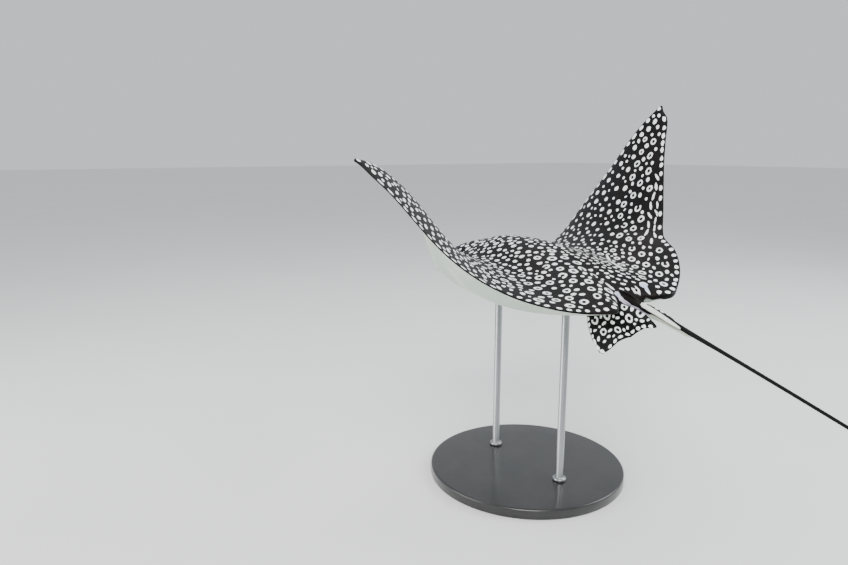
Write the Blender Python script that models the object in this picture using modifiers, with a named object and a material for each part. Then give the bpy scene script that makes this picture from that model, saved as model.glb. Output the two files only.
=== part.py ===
"""Spotted eagle ray: a life-size still model, wings raised in the middle of a stroke, on a display stand.

The animal is drawn flat first, in shares of its disc width: `a` runs out to its right, `b` runs back
from the tip of the snout and `c` runs up.  The flat body is modelled whole, parted into the head,
trunk, wings and lengths of tail by thin cuts, and each piece is then bent into the swimming pose.
World frame: the ray heads along +Y, +Z is up, and the origin is the middle of the stand's underside.
"""
import math

import bmesh
import bpy
import numpy as np

for thing in list(bpy.data.objects):
    bpy.data.objects.remove(thing, do_unlink=True)

# ---------------------------------------------------------------- driving dimensions, metres and degrees
DISC_WIDTH = 1.50
GAP = 0.0003                     # clearance between pieces that meet
FIN_GAP = 0.0012                 # clearance at a pelvic fin's root, wider as the bend closes it
RIM = 0.0009                     # half the thickness of a fin's margin

# Shares of the disc width
SNOUT_LENGTH = 0.118             # snout tip to the front of the wing
TIP_BACK = 0.345                 # snout tip to the wing tips
TAIL_ROOT = 0.515                # snout tip to the root of the tail
TAIL_LENGTH = 1.60               # root of the tail to its tip
TRUNK_HALF_WIDTH = 0.084
WING_JOIN = 0.30                 # where the inner and outer wing are parted
NECK = 0.135                     # where the head and trunk are parted
TAIL_PARTS = (0.64, 0.98, 1.35, 1.74)
TAIL_BOX = 0.030                 # half width of the box that parts the tail from the trunk
BALANCE = 0.30                   # snout tip to the point held over the middle of the stand

# Fins, eyes and stings, in shares of the disc width
PELVIC_ROOT = (0.014, -0.004)    # a and c where the fin leaves the body
PELVIC_SPAN = 0.092
PELVIC_THICKNESS = 0.0065
DORSAL_FRONT, DORSAL_REAR = 0.512, 0.574
DORSAL_HEIGHT, DORSAL_LEAN = 0.0095, 0.0055
EYE_AT = (0.0655, 0.090, 0.014)
EYE_RADIUS = 0.0098
STING_TILT = math.radians(50)    # how far its left edge is turned down
STING_UPPER = ((-0.0072, 0.581, 0.0086), (-0.0102, 0.663, 0.0050), 0.0048)    # root, tip, half width
STING_LOWER = ((-0.0087, 0.600, -0.0020), (-0.0075, 0.679, -0.0022), 0.0034)

# Wing pose: each angle holds at the span shares below
DIHEDRAL_AT = (0.0, 0.055, 0.15, 0.27, 0.39, 0.50)
DIHEDRAL_RIGHT = (0.0, 1.5, 35.0, 59.0, 62.5, 62.0)
DIHEDRAL_LEFT = (0.0, 1.5, 30.0, 48.0, 45.0, 28.0)
TWIST_AT = (0.0, 0.06, 0.20, 0.35, 0.50)
TWIST_RIGHT = (0.0, 0.0, 12.0, 12.0, -2.0)
TWIST_LEFT = (0.0, 0.0, -16.0, -28.0, -30.0)
CURL_AT = (0.0, 0.06, 0.22, 0.42, 0.50)
CURL_RIGHT = (0.0, 0.0, -0.11, -0.03, -0.03)
CURL_LEFT = (0.0, 0.0, 0.20, 0.14, 0.14)
CURL_GAIN = 4.0
TWIST_LINE = (0.30, 0.14)        # the line a chord turns about: snout to it, and its sweep per span

# Pelvic fin droop at the root, middle and tip of its span
PELVIC_DROOP_AT = (0.0, 0.4, 1.0)
PELVIC_DROOP_LEFT = (30.0, 55.0, 70.0)
PELVIC_DROOP_RIGHT = (30.0, 40.0, 46.0)

# Whole body pose
BODY_PITCH = 0.0                 # snout up
BODY_ROLL = 4.2                  # right wing up
BELLY_HEIGHT = 0.62              # stand's underside to the flat body's plane

# Tail pose: droop and sideways turn, at shares of the disc width behind the tail's root
TAIL_AT = (0.0, 0.045, 0.13, 0.50, 0.85, 1.25, 1.60)
TAIL_DROOP = (0.0, 8.0, 15.5, 17.0, 9.0, 1.0, -4.0)
TAIL_TURN = (0.0, -0.5, -1.0, -1.0, -5.0, -12.0, -20.0)

# Stand
BASE_RADIUS = 0.30
BASE_THICKNESS = 0.030
BASE_EDGE = 0.006
ROD_RADIUS = 0.011
ROD_CLEARANCE = 0.0006           # gap between a rod's top and the belly
ROD_FRONT = 0.200                # shares of the disc width behind the snout
ROD_REAR = 0.400


# ---------------------------------------------------------------- materials
def material(name, colour, roughness, metallic=0.0):
    made = bpy.data.materials.new(name)
    made.use_nodes = True
    shader = made.node_tree.nodes["Principled BSDF"]
    shader.inputs["Base Color"].default_value = (*colour, 1.0)
    shader.inputs["Roughness"].default_value = roughness
    shader.inputs["Metallic"].default_value = metallic
    return made


MATERIALS = {
    "skin": material("skin", (0.035, 0.031, 0.035), 0.50),
    "tail_skin": material("tail_skin", (0.015, 0.014, 0.016), 0.50),
    "sting": material("sting", (0.74, 0.72, 0.70), 0.45),
    "eye": material("eye", (0.02, 0.018, 0.02), 0.10),
    "stand": material("stand", (0.10, 0.10, 0.105), 0.45),
    "rod": material("rod", (0.62, 0.62, 0.62), 0.30, 1.0),
}

RAY = bpy.data.collections.new("spotted_eagle_ray")
CUTTERS = bpy.data.collections.new("cutters")
bpy.context.scene.collection.children.link(RAY)
bpy.context.scene.collection.children.link(CUTTERS)


# ---------------------------------------------------------------- curves and pose, as formulas
def through(value, stations, heights):
    """Monotone cubic through the given heights at the given stations."""
    stations = np.asarray(stations, float)
    heights = np.asarray(heights, float)
    steps = np.diff(stations)
    slopes = np.diff(heights) / steps
    total = slopes[1:] + slopes[:-1]
    same_way = slopes[1:] * slopes[:-1] > 0
    inner = np.where(same_way, 2 * slopes[1:] * slopes[:-1] / np.where(same_way, total, 1.0), 0.0)
    tangents = np.concatenate([slopes[:1], inner, slopes[-1:]])
    value = np.clip(np.asarray(value, float), stations[0], stations[-1])
    i = np.clip(np.searchsorted(stations, value, side="right") - 1, 0, len(steps) - 1)
    t = (value - stations[i]) / steps[i]
    from_heights = (2 * t**3 - 3 * t**2 + 1) * heights[i] + (3 * t**2 - 2 * t**3) * heights[i + 1]
    from_tangents = (t**3 - 2 * t**2 + t) * tangents[i] + (t**3 - t**2) * tangents[i + 1]
    return from_heights + steps[i] * from_tangents


def leading_edge(a):
    """Front margin of the wing: gently convex, sweeping back into the tip."""
    sweep = TIP_BACK - SNOUT_LENGTH
    shares = np.array([-0.02, 0.0, 0.115, 0.31, 0.59, 0.845, 0.963, 1.0])
    return through(abs(a), (0.0, 0.078, 0.16, 0.27, 0.38, 0.46, 0.49, 0.50), SNOUT_LENGTH + sweep * shares)


def trailing_edge(a):
    """Rear margin: hollow behind the tip, then a round inner lobe beside the tail."""
    stations = (0.0, 0.04, 0.07, 0.10, 0.14, 0.175, 0.21, 0.27, 0.34, 0.42, 0.47, 0.49, 0.50)
    margin = (0.515, 0.560, 0.580, 0.570, 0.554, 0.530, 0.484, 0.455, 0.424, 0.389, 0.371,
              TIP_BACK + 0.008, TIP_BACK + 0.003)
    return through(abs(a), stations, margin)


def half_thickness(a, b):
    """Height of the back and depth of the belly, from a wing section, a ridge and a keel."""
    a = abs(a)
    front = leading_edge(a)
    chord = np.clip((b - front) / (trailing_edge(a) - front), 0.0, 1.0)
    section = 1.95 * np.sqrt(chord) * (1.0 - chord) ** 0.9 * (1.0 + 0.4 * chord)
    span = (0.0, 0.06, 0.10, 0.16, 0.24, 0.34, 0.44, 0.50)
    back = through(a, span, (0.055, 0.051, 0.044, 0.033, 0.021, 0.0116, 0.0055, 0.0020))
    belly = through(a, span, (0.035, 0.033, 0.0315, 0.0265, 0.0165, 0.0088, 0.0044, 0.0018))
    along = (0.05, 0.12, 0.20, 0.28, 0.36, 0.44, 0.50, 0.56)
    ridge = through(b, along, (0.0, 0.027, 0.032, 0.030, 0.025, 0.018, 0.012, 0.007))
    keel = through(b, along, (0.0, 0.012, 0.014, 0.012, 0.010, 0.008, 0.008, 0.006))
    middle = np.exp(-((a / 0.075) ** 2.4))
    return back * section + ridge * middle, belly * section + keel * middle


def pose(flat):
    """Bend points of the flat body, in metres, into the swimming pose in the world frame.

    The wing line is the running sum of steps at the dihedral angle; each chord is turned by the twist
    about that line.  Behind the tail's root the axis is the running sum of steps at the droop and turn.
    """
    a, b, c = flat[:, 0] / DISC_WIDTH, -flat[:, 1] / DISC_WIDTH, flat[:, 2] / DISC_WIDTH
    right = a >= 0.0
    out = abs(a)
    line = np.linspace(0.0, 0.5, 501)
    across, up, lean, twist, curl = (np.empty_like(a) for _ in range(5))
    for mask, dihedral, twists, curls in (
        (right, DIHEDRAL_RIGHT, TWIST_RIGHT, CURL_RIGHT),
        (~right, DIHEDRAL_LEFT, TWIST_LEFT, CURL_LEFT),
    ):
        angle = np.radians(through(line, DIHEDRAL_AT, dihedral))
        middle = (angle[1:] + angle[:-1]) / 2
        step = line[1]
        run = np.concatenate([[0.0], np.cumsum(np.cos(middle) * step)])
        rise = np.concatenate([[0.0], np.cumsum(np.sin(middle) * step)])
        span = out[mask]
        across[mask] = np.interp(span, line, run)
        up[mask] = np.interp(span, line, rise)
        lean[mask] = np.interp(span, line, angle)
        twist[mask] = np.radians(through(span, TWIST_AT, twists))
        curl[mask] = through(span, CURL_AT, curls)
    pivot = TWIST_LINE[0] + TWIST_LINE[1] * out
    behind = b - pivot
    lift = c + CURL_GAIN * curl * np.clip(behind, 0.0, None) ** 2 + behind * np.sin(twist)
    back = pivot + behind * np.cos(twist)
    across = np.where(right, 1.0, -1.0) * (across - np.sin(lean) * lift)
    height = up + np.cos(lean) * lift

    # the tail: distance behind its root, then the axis at that distance
    distance = np.linspace(0.0, TAIL_LENGTH, 1201)
    droop = np.radians(through(distance, TAIL_AT, TAIL_DROOP))
    turn = np.radians(through(distance, TAIL_AT, TAIL_TURN))
    step = distance[1]
    tangents = np.stack([np.sin(turn) * np.cos(droop), np.cos(turn) * np.cos(droop), -np.sin(droop)])
    middle = (tangents[:, 1:] + tangents[:, :-1]) / 2 * step
    axis = np.concatenate([np.zeros((3, 1)), np.cumsum(middle, axis=1)], axis=1)
    near_tail = np.clip((0.055 - out) / 0.01, 0.0, 1.0)
    tail = np.clip(b - TAIL_ROOT, 0.0, TAIL_LENGTH) * near_tail
    at = [np.interp(tail, distance, axis[k]) for k in range(3)]
    droop = np.interp(tail, distance, droop)
    turn = np.interp(tail, distance, turn)
    x = across * np.cos(turn) - height * np.sin(droop) * np.sin(turn) + at[0]
    back = back - tail + at[1] - across * np.sin(turn) - height * np.sin(droop) * np.cos(turn)
    height = height * np.cos(droop) + at[2]

    body = np.stack([x, -back, height], axis=1) * DISC_WIDTH
    return to_world(body)


def to_world(body):
    """Body frame to world frame: pitch and roll about the balance point, then up onto the stand."""
    balance = np.array([0.0, -BALANCE * DISC_WIDTH, 0.0])
    pitch, roll = math.radians(BODY_PITCH), math.radians(BODY_ROLL)
    about_x = np.array([
        [1, 0, 0],
        [0, math.cos(pitch), -math.sin(pitch)],
        [0, math.sin(pitch), math.cos(pitch)],
    ])
    about_y = np.array([
        [math.cos(roll), 0, -math.sin(roll)],
        [0, 1, 0],
        [math.sin(roll), 0, math.cos(roll)],
    ])
    return (body - balance) @ (about_x @ about_y).T + np.array([0.0, 0.0, BELLY_HEIGHT])


# ---------------------------------------------------------------- building blocks
def add_object(name, mesh, finish, collection=None):
    piece = bpy.data.objects.new(name, mesh)
    (collection or RAY).objects.link(piece)
    if finish:
        mesh.materials.clear()
        mesh.materials.append(MATERIALS[finish])
    return piece


def mesh_from(name, points, faces):
    mesh = bpy.data.meshes.new(name)
    mesh.from_pydata([tuple(p) for p in points], [], faces)
    work = bmesh.new()
    work.from_mesh(mesh)
    bmesh.ops.remove_doubles(work, verts=work.verts, dist=1e-7)
    bmesh.ops.recalc_face_normals(work, faces=work.faces)
    work.to_mesh(mesh)
    work.free()
    return mesh


def loft(name, rings):
    """Closed skin over rings of equal length, with a flat cap at each end."""
    count, size = rings.shape[:2]
    faces = []
    for i in range(count - 1):
        for j in range(size):
            k = (j + 1) % size
            faces.append((i * size + j, i * size + k, (i + 1) * size + k, (i + 1) * size + j))
    faces.append(tuple(range(size)))
    faces.append(tuple((count - 1) * size + j for j in range(size))[::-1])
    return mesh_from(name, rings.reshape(-1, 3), faces)


def slab(name, top, bottom):
    """Closed thin body between two grids of points that share their outline."""
    rings = np.concatenate([top, bottom[:, ::-1]], axis=1)
    return loft(name, rings)


def boolean(piece, cutter, operation):
    change = piece.modifiers.new(operation.lower(), "BOOLEAN")
    change.operation = operation
    change.object = cutter
    change.solver = "EXACT"


def settle(piece):
    """Swap a piece's mesh for the shape its modifiers give it."""
    bpy.context.view_layer.update()
    shape = piece.evaluated_get(bpy.context.evaluated_depsgraph_get())
    mesh = bpy.data.meshes.new_from_object(shape)
    piece.modifiers.clear()
    piece.data = mesh
    return piece


def cutter_from(name, mesh, swell=0.0):
    """A hidden cutter, swollen by the clearance that the cut has to leave."""
    cutter = add_object(name, mesh, None, CUTTERS)
    cutter.hide_render = True
    cutter.display_type = "WIRE"
    if swell:
        grow = cutter.modifiers.new("swell", "DISPLACE")
        grow.strength = swell
        grow.mid_level = 0.0
        settle(cutter)
    return cutter


def box_cutter(name, low, high):
    """A box between two corners given as (a, b, c) in shares of the disc width."""
    size = (np.array(high) - np.array(low)) * DISC_WIDTH
    middle = (np.array(high) + np.array(low)) / 2 * DISC_WIDTH
    work = bmesh.new()
    bmesh.ops.create_cube(work, size=1.0)
    bmesh.ops.scale(work, vec=size, verts=work.verts)
    bmesh.ops.translate(work, vec=(middle[0], -middle[1], middle[2]), verts=work.verts)
    mesh = bpy.data.meshes.new(name)
    work.to_mesh(mesh)
    work.free()
    return cutter_from(name, mesh)


def bend(piece):
    """Move every point of a flat piece to its place in the pose."""
    flat = np.empty(len(piece.data.vertices) * 3)
    piece.data.vertices.foreach_get("co", flat)
    piece.data.vertices.foreach_set("co", pose(flat.reshape(-1, 3)).ravel())
    piece.data.update()
    return piece


def in_metres(a, b, c):
    """Flat body coordinates, in shares of the disc width, to points in metres."""
    a, b, c = np.broadcast_arrays(a, b, c)
    return np.stack([a, -b, c], axis=-1) * DISC_WIDTH


# ---------------------------------------------------------------- the flat body, whole
def disc():
    """Both wings and the trunk as one slab: columns across the span, rows down each chord."""
    half = np.concatenate([np.linspace(0.0, 0.15, 9), np.linspace(0.17, 0.46, 15), (0.475, 0.488, 0.497)])
    columns = np.concatenate([-half[:0:-1], half])
    turns = np.linspace(0.0, math.pi, 15)
    rows = 0.5 * (1.0 - np.cos(turns))
    a, share = np.meshgrid(columns, rows, indexing="ij")
    front = leading_edge(a)
    b = front + (trailing_edge(a) - front) * share
    back, belly = half_thickness(a, b)
    rim = RIM / DISC_WIDTH
    return slab("disc", in_metres(a, b, back + rim), in_metres(a, b, -belly - rim))


def ring_points(count, squareness):
    """Round-cornered ring: a circle whose sine and cosine are raised to a power below one."""
    turn = np.linspace(0.0, 2 * math.pi, count, endpoint=False)
    across, up = np.cos(turn), np.sin(turn)
    return np.sign(across) * abs(across) ** squareness, np.sign(up) * abs(up) ** squareness


def body_loft(name, stations, half_width, top, bottom, squareness, count=24):
    """Loft along the body, its rings set by half width, top and bottom at each station."""
    across, up = ring_points(count, squareness)
    middle, half_height = (top + bottom) / 2, (top - bottom) / 2
    a = half_width[:, None] * across
    c = middle[:, None] + half_height[:, None] * up
    return loft(name, in_metres(a, stations[:, None], c))


def head():
    """Duck-billed snout, steep forehead and broad cranium, running back inside the trunk."""
    at = (0.0, 0.004, 0.012, 0.028, 0.045, 0.060, 0.078, 0.095, 0.115, 0.150, 0.200, 0.250)
    widths = (0.006, 0.019, 0.031, 0.044, 0.052, 0.058, 0.066, 0.0715, 0.074, 0.070, 0.058, 0.036)
    tops = (-0.010, -0.004, 0.000, 0.005, 0.014, 0.028, 0.041, 0.049, 0.056, 0.064, 0.066, 0.050)
    bottoms = (-0.016, -0.020, -0.023, -0.026, -0.028, -0.030, -0.034, -0.038, -0.041, -0.042, -0.036, -0.024)
    b = np.concatenate([np.linspace(0.0006, 0.053, 9), np.linspace(0.06, 0.25, 12)])
    half_width, top, bottom = through(b, at, widths), through(b, at, tops), through(b, at, bottoms)
    return body_loft("head_form", b, half_width, top, bottom, 0.80)


def tail():
    """Tail from inside the trunk to its tip, flattened at the root and whip-thin behind the stings."""
    at = (0.42, 0.48, 0.52, 0.56, 0.60, 0.66, 0.75, 0.95, 1.25, 1.65, 2.115)
    widths = (0.026, 0.025, 0.0195, 0.0130, 0.0088, 0.0050, 0.0034, 0.0028, 0.0024, 0.0018, 0.0010)
    heights = (0.016, 0.017, 0.0150, 0.0112, 0.0080, 0.0049, 0.0034, 0.0028, 0.0024, 0.0018, 0.0010)
    b = np.concatenate([np.linspace(0.42, 0.66, 11), np.linspace(0.70, TAIL_ROOT + TAIL_LENGTH, 40)])
    half_height = through(b, at, heights)
    return body_loft("tail_form", b, through(b, at, widths), half_height, -half_height, 1.0, 12)


def whole_body():
    """Disc, head and tail joined into one closed skin."""
    body = add_object("whole_body", disc(), None, CUTTERS)
    for form in (head(), tail()):
        boolean(body, cutter_from(form.name, form), "UNION")
    body.hide_render = True
    body.display_type = "WIRE"
    return settle(body)


BODY = whole_body()


# ---------------------------------------------------------------- head, trunk, wings and tail lengths
def part_of_body(name, finish, boxes, holes=()):
    """What the whole body holds inside a box, less the holes."""
    piece = add_object(name, BODY.data.copy(), finish)
    boolean(piece, box_cutter(name + "_keep", *boxes), "INTERSECT")
    for k, (low, high) in enumerate(holes):
        boolean(piece, box_cutter(f"{name}_clear_{k}", low, high), "DIFFERENCE")
    settle(piece)
    return piece


def flesh():
    """The whole body parted by thin cuts."""
    slit = GAP / 2 / DISC_WIDTH
    side = TRUNK_HALF_WIDTH
    tail_hole = ((-TAIL_BOX - slit, TAIL_ROOT - slit, -1), (TAIL_BOX + slit, 4, 1))
    pieces = [
        part_of_body("head", "skin", ((-side + slit, -1, -1), (side - slit, NECK - slit, 1))),
        part_of_body("trunk", "skin", ((-side + slit, NECK + slit, -1), (side - slit, 1, 1)), [tail_hole]),
    ]
    for name, sign in (("right", 1), ("left", -1)):
        for part, near, far in (("inner", side, WING_JOIN), ("outer", WING_JOIN, 1)):
            low, high = sorted((sign * (near + slit), sign * (far - slit)))
            pieces.append(part_of_body(f"wing_{name}_{part}", "skin", ((low, -1, -1), (high, 1, 1))))
    starts = (TAIL_ROOT,) + TAIL_PARTS
    ends = TAIL_PARTS + (4,)
    for name, start, end in zip(("base", "front", "middle", "rear", "tip"), starts, ends):
        finish = "skin" if name == "base" else "tail_skin"
        box = ((-TAIL_BOX + slit, start + slit, -1), (TAIL_BOX - slit, end - slit, 1))
        pieces.append(part_of_body(f"tail_{name}", finish, box))
    return {piece.name: piece for piece in pieces}


PIECES = flesh()


# ---------------------------------------------------------------- fins, stings and eyes
def fin_grid(rows, columns):
    """Shares of the chord, closer together at both margins, and of the span."""
    along, out = np.meshgrid(np.linspace(0, 1, rows), np.linspace(0, 1, columns), indexing="ij")
    return 0.5 * (1 - np.cos(along * math.pi)), out


def pelvic_fin(sign, droops):
    """Paddle hanging from the side of the tail's root, curving down by the droop along its span."""
    along, out = fin_grid(11, 9)
    front = through(out, (0.0, 0.2, 0.45, 0.75, 0.90, 1.0), (0.463, 0.476, 0.491, 0.514, 0.530, 0.544))
    rear = through(out, (0.0, 0.10, 0.25, 0.60, 0.90, 1.0), (0.600, 0.622, 0.603, 0.579, 0.561, 0.551))
    b = front + (rear - front) * along
    droop = np.radians(through(out, PELVIC_DROOP_AT, droops))
    step = PELVIC_SPAN / (out.shape[1] - 1)
    zero = np.zeros((out.shape[0], 1))
    run = np.concatenate([zero, np.cumsum(np.cos(droop[:, 1:]) * step, axis=1)], axis=1)
    fall = np.concatenate([zero, np.cumsum(np.sin(droop[:, 1:]) * step, axis=1)], axis=1)
    section = np.sqrt(np.clip(along * (1 - along) * 4, 0, 1))
    thick = PELVIC_THICKNESS * (1 - out) ** 0.8 * section + RIM / DISC_WIDTH
    a = PELVIC_ROOT[0] + run
    c = PELVIC_ROOT[1] - fall
    over_a, over_c = np.sin(droop) * thick, np.cos(droop) * thick
    top = in_metres(sign * (a + over_a), b, c + over_c)
    bottom = in_metres(sign * (a - over_a), b, c - over_c)
    return slab("pelvic_fin_form", top, bottom)


def dorsal_fin():
    """Low fin on the tail's root, just ahead of the stings, leaning to the left."""
    along, up = fin_grid(9, 7)
    front = DORSAL_FRONT + 0.022 * up**1.3
    rear = DORSAL_REAR - 0.020 * up
    a = -DORSAL_LEAN * up
    b = front + (rear - front) * along
    c = 0.008 + DORSAL_HEIGHT * up
    thick = 0.0036 * (1 - up) * np.sqrt(np.clip(along * (1 - along) * 4, 0, 1)) + RIM / DISC_WIDTH
    return slab("dorsal_fin_form", in_metres(a + thick, b, c), in_metres(a - thick, b, c))


def sting(root, tip, widest):
    """Flat spine lying back along the tail, narrowing to a blunt point."""
    share = np.linspace(0.0, 1.0, 12)
    a, b, c = (root[k] + (tip[k] - root[k]) * share for k in range(3))
    half_width = widest * (1 - share) ** 0.25 + 0.0006
    wide, deep = ring_points(8, 0.9)
    wide, deep = half_width[:, None] * wide, half_width[:, None] * 0.5 * deep
    across = a[:, None] + wide * math.cos(STING_TILT) - deep * math.sin(STING_TILT)
    up = c[:, None] + wide * math.sin(STING_TILT) + deep * math.cos(STING_TILT)
    return loft("sting_form", in_metres(across, b[:, None], up))


def appendages():
    """Fins and stings, their roots cut back to stand just clear of the body."""
    body_clear = cutter_from("body_clearance", BODY.data.copy(), GAP)
    root_clear = cutter_from("fin_root_clearance", BODY.data.copy(), FIN_GAP)
    fin_clear = cutter_from("dorsal_fin_clearance", dorsal_fin(), GAP)
    forms = (
        ("pelvic_fin_right", pelvic_fin(1, PELVIC_DROOP_RIGHT), "skin", (root_clear,)),
        ("pelvic_fin_left", pelvic_fin(-1, PELVIC_DROOP_LEFT), "skin", (root_clear,)),
        ("dorsal_fin", dorsal_fin(), "skin", (body_clear,)),
        ("sting_upper", sting(*STING_UPPER), "sting", (body_clear, fin_clear)),
        ("sting_lower", sting(*STING_LOWER), "sting", (body_clear, fin_clear)),
    )
    made = {}
    for name, mesh, finish, clearances in forms:
        piece = add_object(name, mesh, finish)
        for clearance in clearances:
            boolean(piece, clearance, "DIFFERENCE")
        made[name] = settle(piece)
    return made


PIECES.update(appendages())


def eyes():
    """Balls seated in the sides of the head, with the clearance left round them."""
    for name, sign in (("right", 1), ("left", -1)):
        centre = in_metres(sign * EYE_AT[0], EYE_AT[1], EYE_AT[2])
        for radius, role in ((EYE_RADIUS * DISC_WIDTH, "eye"), (EYE_RADIUS * DISC_WIDTH + GAP, "socket")):
            work = bmesh.new()
            bmesh.ops.create_uvsphere(work, u_segments=16, v_segments=10, radius=radius)
            bmesh.ops.translate(work, vec=centre, verts=work.verts)
            mesh = bpy.data.meshes.new(f"{role}_{name}")
            work.to_mesh(mesh)
            work.free()
            if role == "eye":
                PIECES[f"eye_{name}"] = add_object(f"eye_{name}", mesh, "eye")
            else:
                boolean(PIECES["head"], cutter_from(f"socket_{name}", mesh), "DIFFERENCE")
    settle(PIECES["head"])


eyes()
for piece in PIECES.values():
    bend(piece)


# ---------------------------------------------------------------- display stand
def cylinder(name, radius, low, high, x, y, segments, finish):
    work = bmesh.new()
    sizes = {"radius1": radius, "radius2": radius, "depth": high - low}
    bmesh.ops.create_cone(work, cap_ends=True, segments=segments, **sizes)
    bmesh.ops.translate(work, vec=(x, y, (low + high) / 2), verts=work.verts)
    mesh = bpy.data.meshes.new(name)
    work.to_mesh(mesh)
    work.free()
    return add_object(name, mesh, finish) if finish else cutter_from(name, mesh)


def stand():
    """Round base, and two rods that stop just under the belly."""
    base = cylinder("stand_base", BASE_RADIUS, 0.0, BASE_THICKNESS, 0.0, 0.0, 64, "stand")
    edge = base.modifiers.new("rounded_edge", "BEVEL")
    edge.width = BASE_EDGE
    edge.segments = 2
    belly = add_object("posed_belly", PIECES["trunk"].data.copy(), None, CUTTERS)
    belly.hide_render = True
    belly.display_type = "WIRE"
    grow = belly.modifiers.new("swell", "DISPLACE")
    grow.strength = ROD_CLEARANCE
    grow.mid_level = 0.0
    settle(belly)
    for name, share in (("front", ROD_FRONT), ("rear", ROD_REAR)):
        y = (BALANCE - share) * DISC_WIDTH
        rod = cylinder(f"stand_rod_{name}", ROD_RADIUS, BASE_THICKNESS + GAP, BELLY_HEIGHT, 0.0, y, 24, "rod")
        boolean(rod, belly, "DIFFERENCE")
        settle(rod)


stand()
for piece in RAY.objects:
    piece.data.shade_smooth()
    piece.data.set_sharp_from_angle(angle=math.radians(40))
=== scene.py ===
"""Looks of the spotted eagle ray: one spotted skin, glass eyes, two stings and a display stand.

The skin is worked out flat, in shares of the disc width: `a` runs out to the animal's right, `b` back
from the tip of its snout and `c` up.  It is then bent into the same swimming pose as the solids.
"""

import math

import bmesh
import bpy
import numpy as np
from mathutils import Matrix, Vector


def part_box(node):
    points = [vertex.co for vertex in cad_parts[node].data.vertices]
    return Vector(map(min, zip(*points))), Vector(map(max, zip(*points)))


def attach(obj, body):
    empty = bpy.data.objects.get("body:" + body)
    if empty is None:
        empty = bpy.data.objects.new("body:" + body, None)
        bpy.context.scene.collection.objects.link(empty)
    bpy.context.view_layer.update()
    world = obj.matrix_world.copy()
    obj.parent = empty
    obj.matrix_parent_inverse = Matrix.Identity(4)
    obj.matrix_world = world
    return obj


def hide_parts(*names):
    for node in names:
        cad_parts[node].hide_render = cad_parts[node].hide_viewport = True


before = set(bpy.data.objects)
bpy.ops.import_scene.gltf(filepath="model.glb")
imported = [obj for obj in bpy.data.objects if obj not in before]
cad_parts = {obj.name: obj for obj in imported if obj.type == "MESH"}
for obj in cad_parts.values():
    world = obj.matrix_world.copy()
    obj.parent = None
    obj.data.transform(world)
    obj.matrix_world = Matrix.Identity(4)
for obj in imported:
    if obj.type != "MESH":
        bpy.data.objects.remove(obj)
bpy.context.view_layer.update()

# ---------------------------------------------------------------- swimming pose
# The ray is caught in mid stroke, wings raised, turning a little; the tail trails and sinks behind it.
# Each angle below holds at the shares of the disc width named beside it, and runs smoothly between.
DISC_WIDTH = 1.50
SNOUT_LENGTH = 0.118
TIP_BACK = 0.345
TAIL_ROOT = 0.515
TAIL_LENGTH = 1.60
BALANCE = 0.30
BELLY_HEIGHT = 0.62
BODY_ROLL = math.radians(4.2)
DIHEDRAL_AT = (0.0, 0.055, 0.15, 0.27, 0.39, 0.50)
DIHEDRAL = {1: (0.0, 1.5, 35.0, 59.0, 62.5, 62.0), -1: (0.0, 1.5, 30.0, 48.0, 45.0, 28.0)}
TWIST_AT = (0.0, 0.06, 0.20, 0.35, 0.50)
TWIST = {1: (0.0, 0.0, 12.0, 12.0, -2.0), -1: (0.0, 0.0, -16.0, -28.0, -30.0)}
TWIST_LINE = (0.30, 0.14)
CURL_AT = (0.0, 0.06, 0.22, 0.42, 0.50)
CURL = {1: (0.0, 0.0, -0.11, -0.03, -0.03), -1: (0.0, 0.0, 0.20, 0.14, 0.14)}
CURL_GAIN = 4.0
TAIL_REACH, TAIL_FADE = 0.055, 0.01    # half width that bends with the tail, and how it fades
TAIL_AT = (0.0, 0.045, 0.13, 0.50, 0.85, 1.25, 1.60)
TAIL_DROOP = (0.0, 8.0, 15.5, 17.0, 9.0, 1.0, -4.0)
TAIL_TURN = (0.0, -0.5, -1.0, -1.0, -5.0, -12.0, -20.0)


def through(value, stations, heights):
    """Monotone cubic through the given heights at the given stations."""
    stations = np.asarray(stations, float)
    heights = np.asarray(heights, float)
    steps = np.diff(stations)
    slopes = np.diff(heights) / steps
    same_way = slopes[1:] * slopes[:-1] > 0
    total = np.where(same_way, slopes[1:] + slopes[:-1], 1.0)
    inner = np.where(same_way, 2 * slopes[1:] * slopes[:-1] / total, 0.0)
    tangents = np.concatenate([slopes[:1], inner, slopes[-1:]])
    value = np.clip(np.asarray(value, float), stations[0], stations[-1])
    i = np.clip(np.searchsorted(stations, value, side="right") - 1, 0, len(steps) - 1)
    t = (value - stations[i]) / steps[i]
    from_heights = (2 * t**3 - 3 * t**2 + 1) * heights[i] + (3 * t**2 - 2 * t**3) * heights[i + 1]
    from_tangents = (t**3 - 2 * t**2 + t) * tangents[i] + (t**3 - t**2) * tangents[i + 1]
    return from_heights + steps[i] * from_tangents


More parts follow.
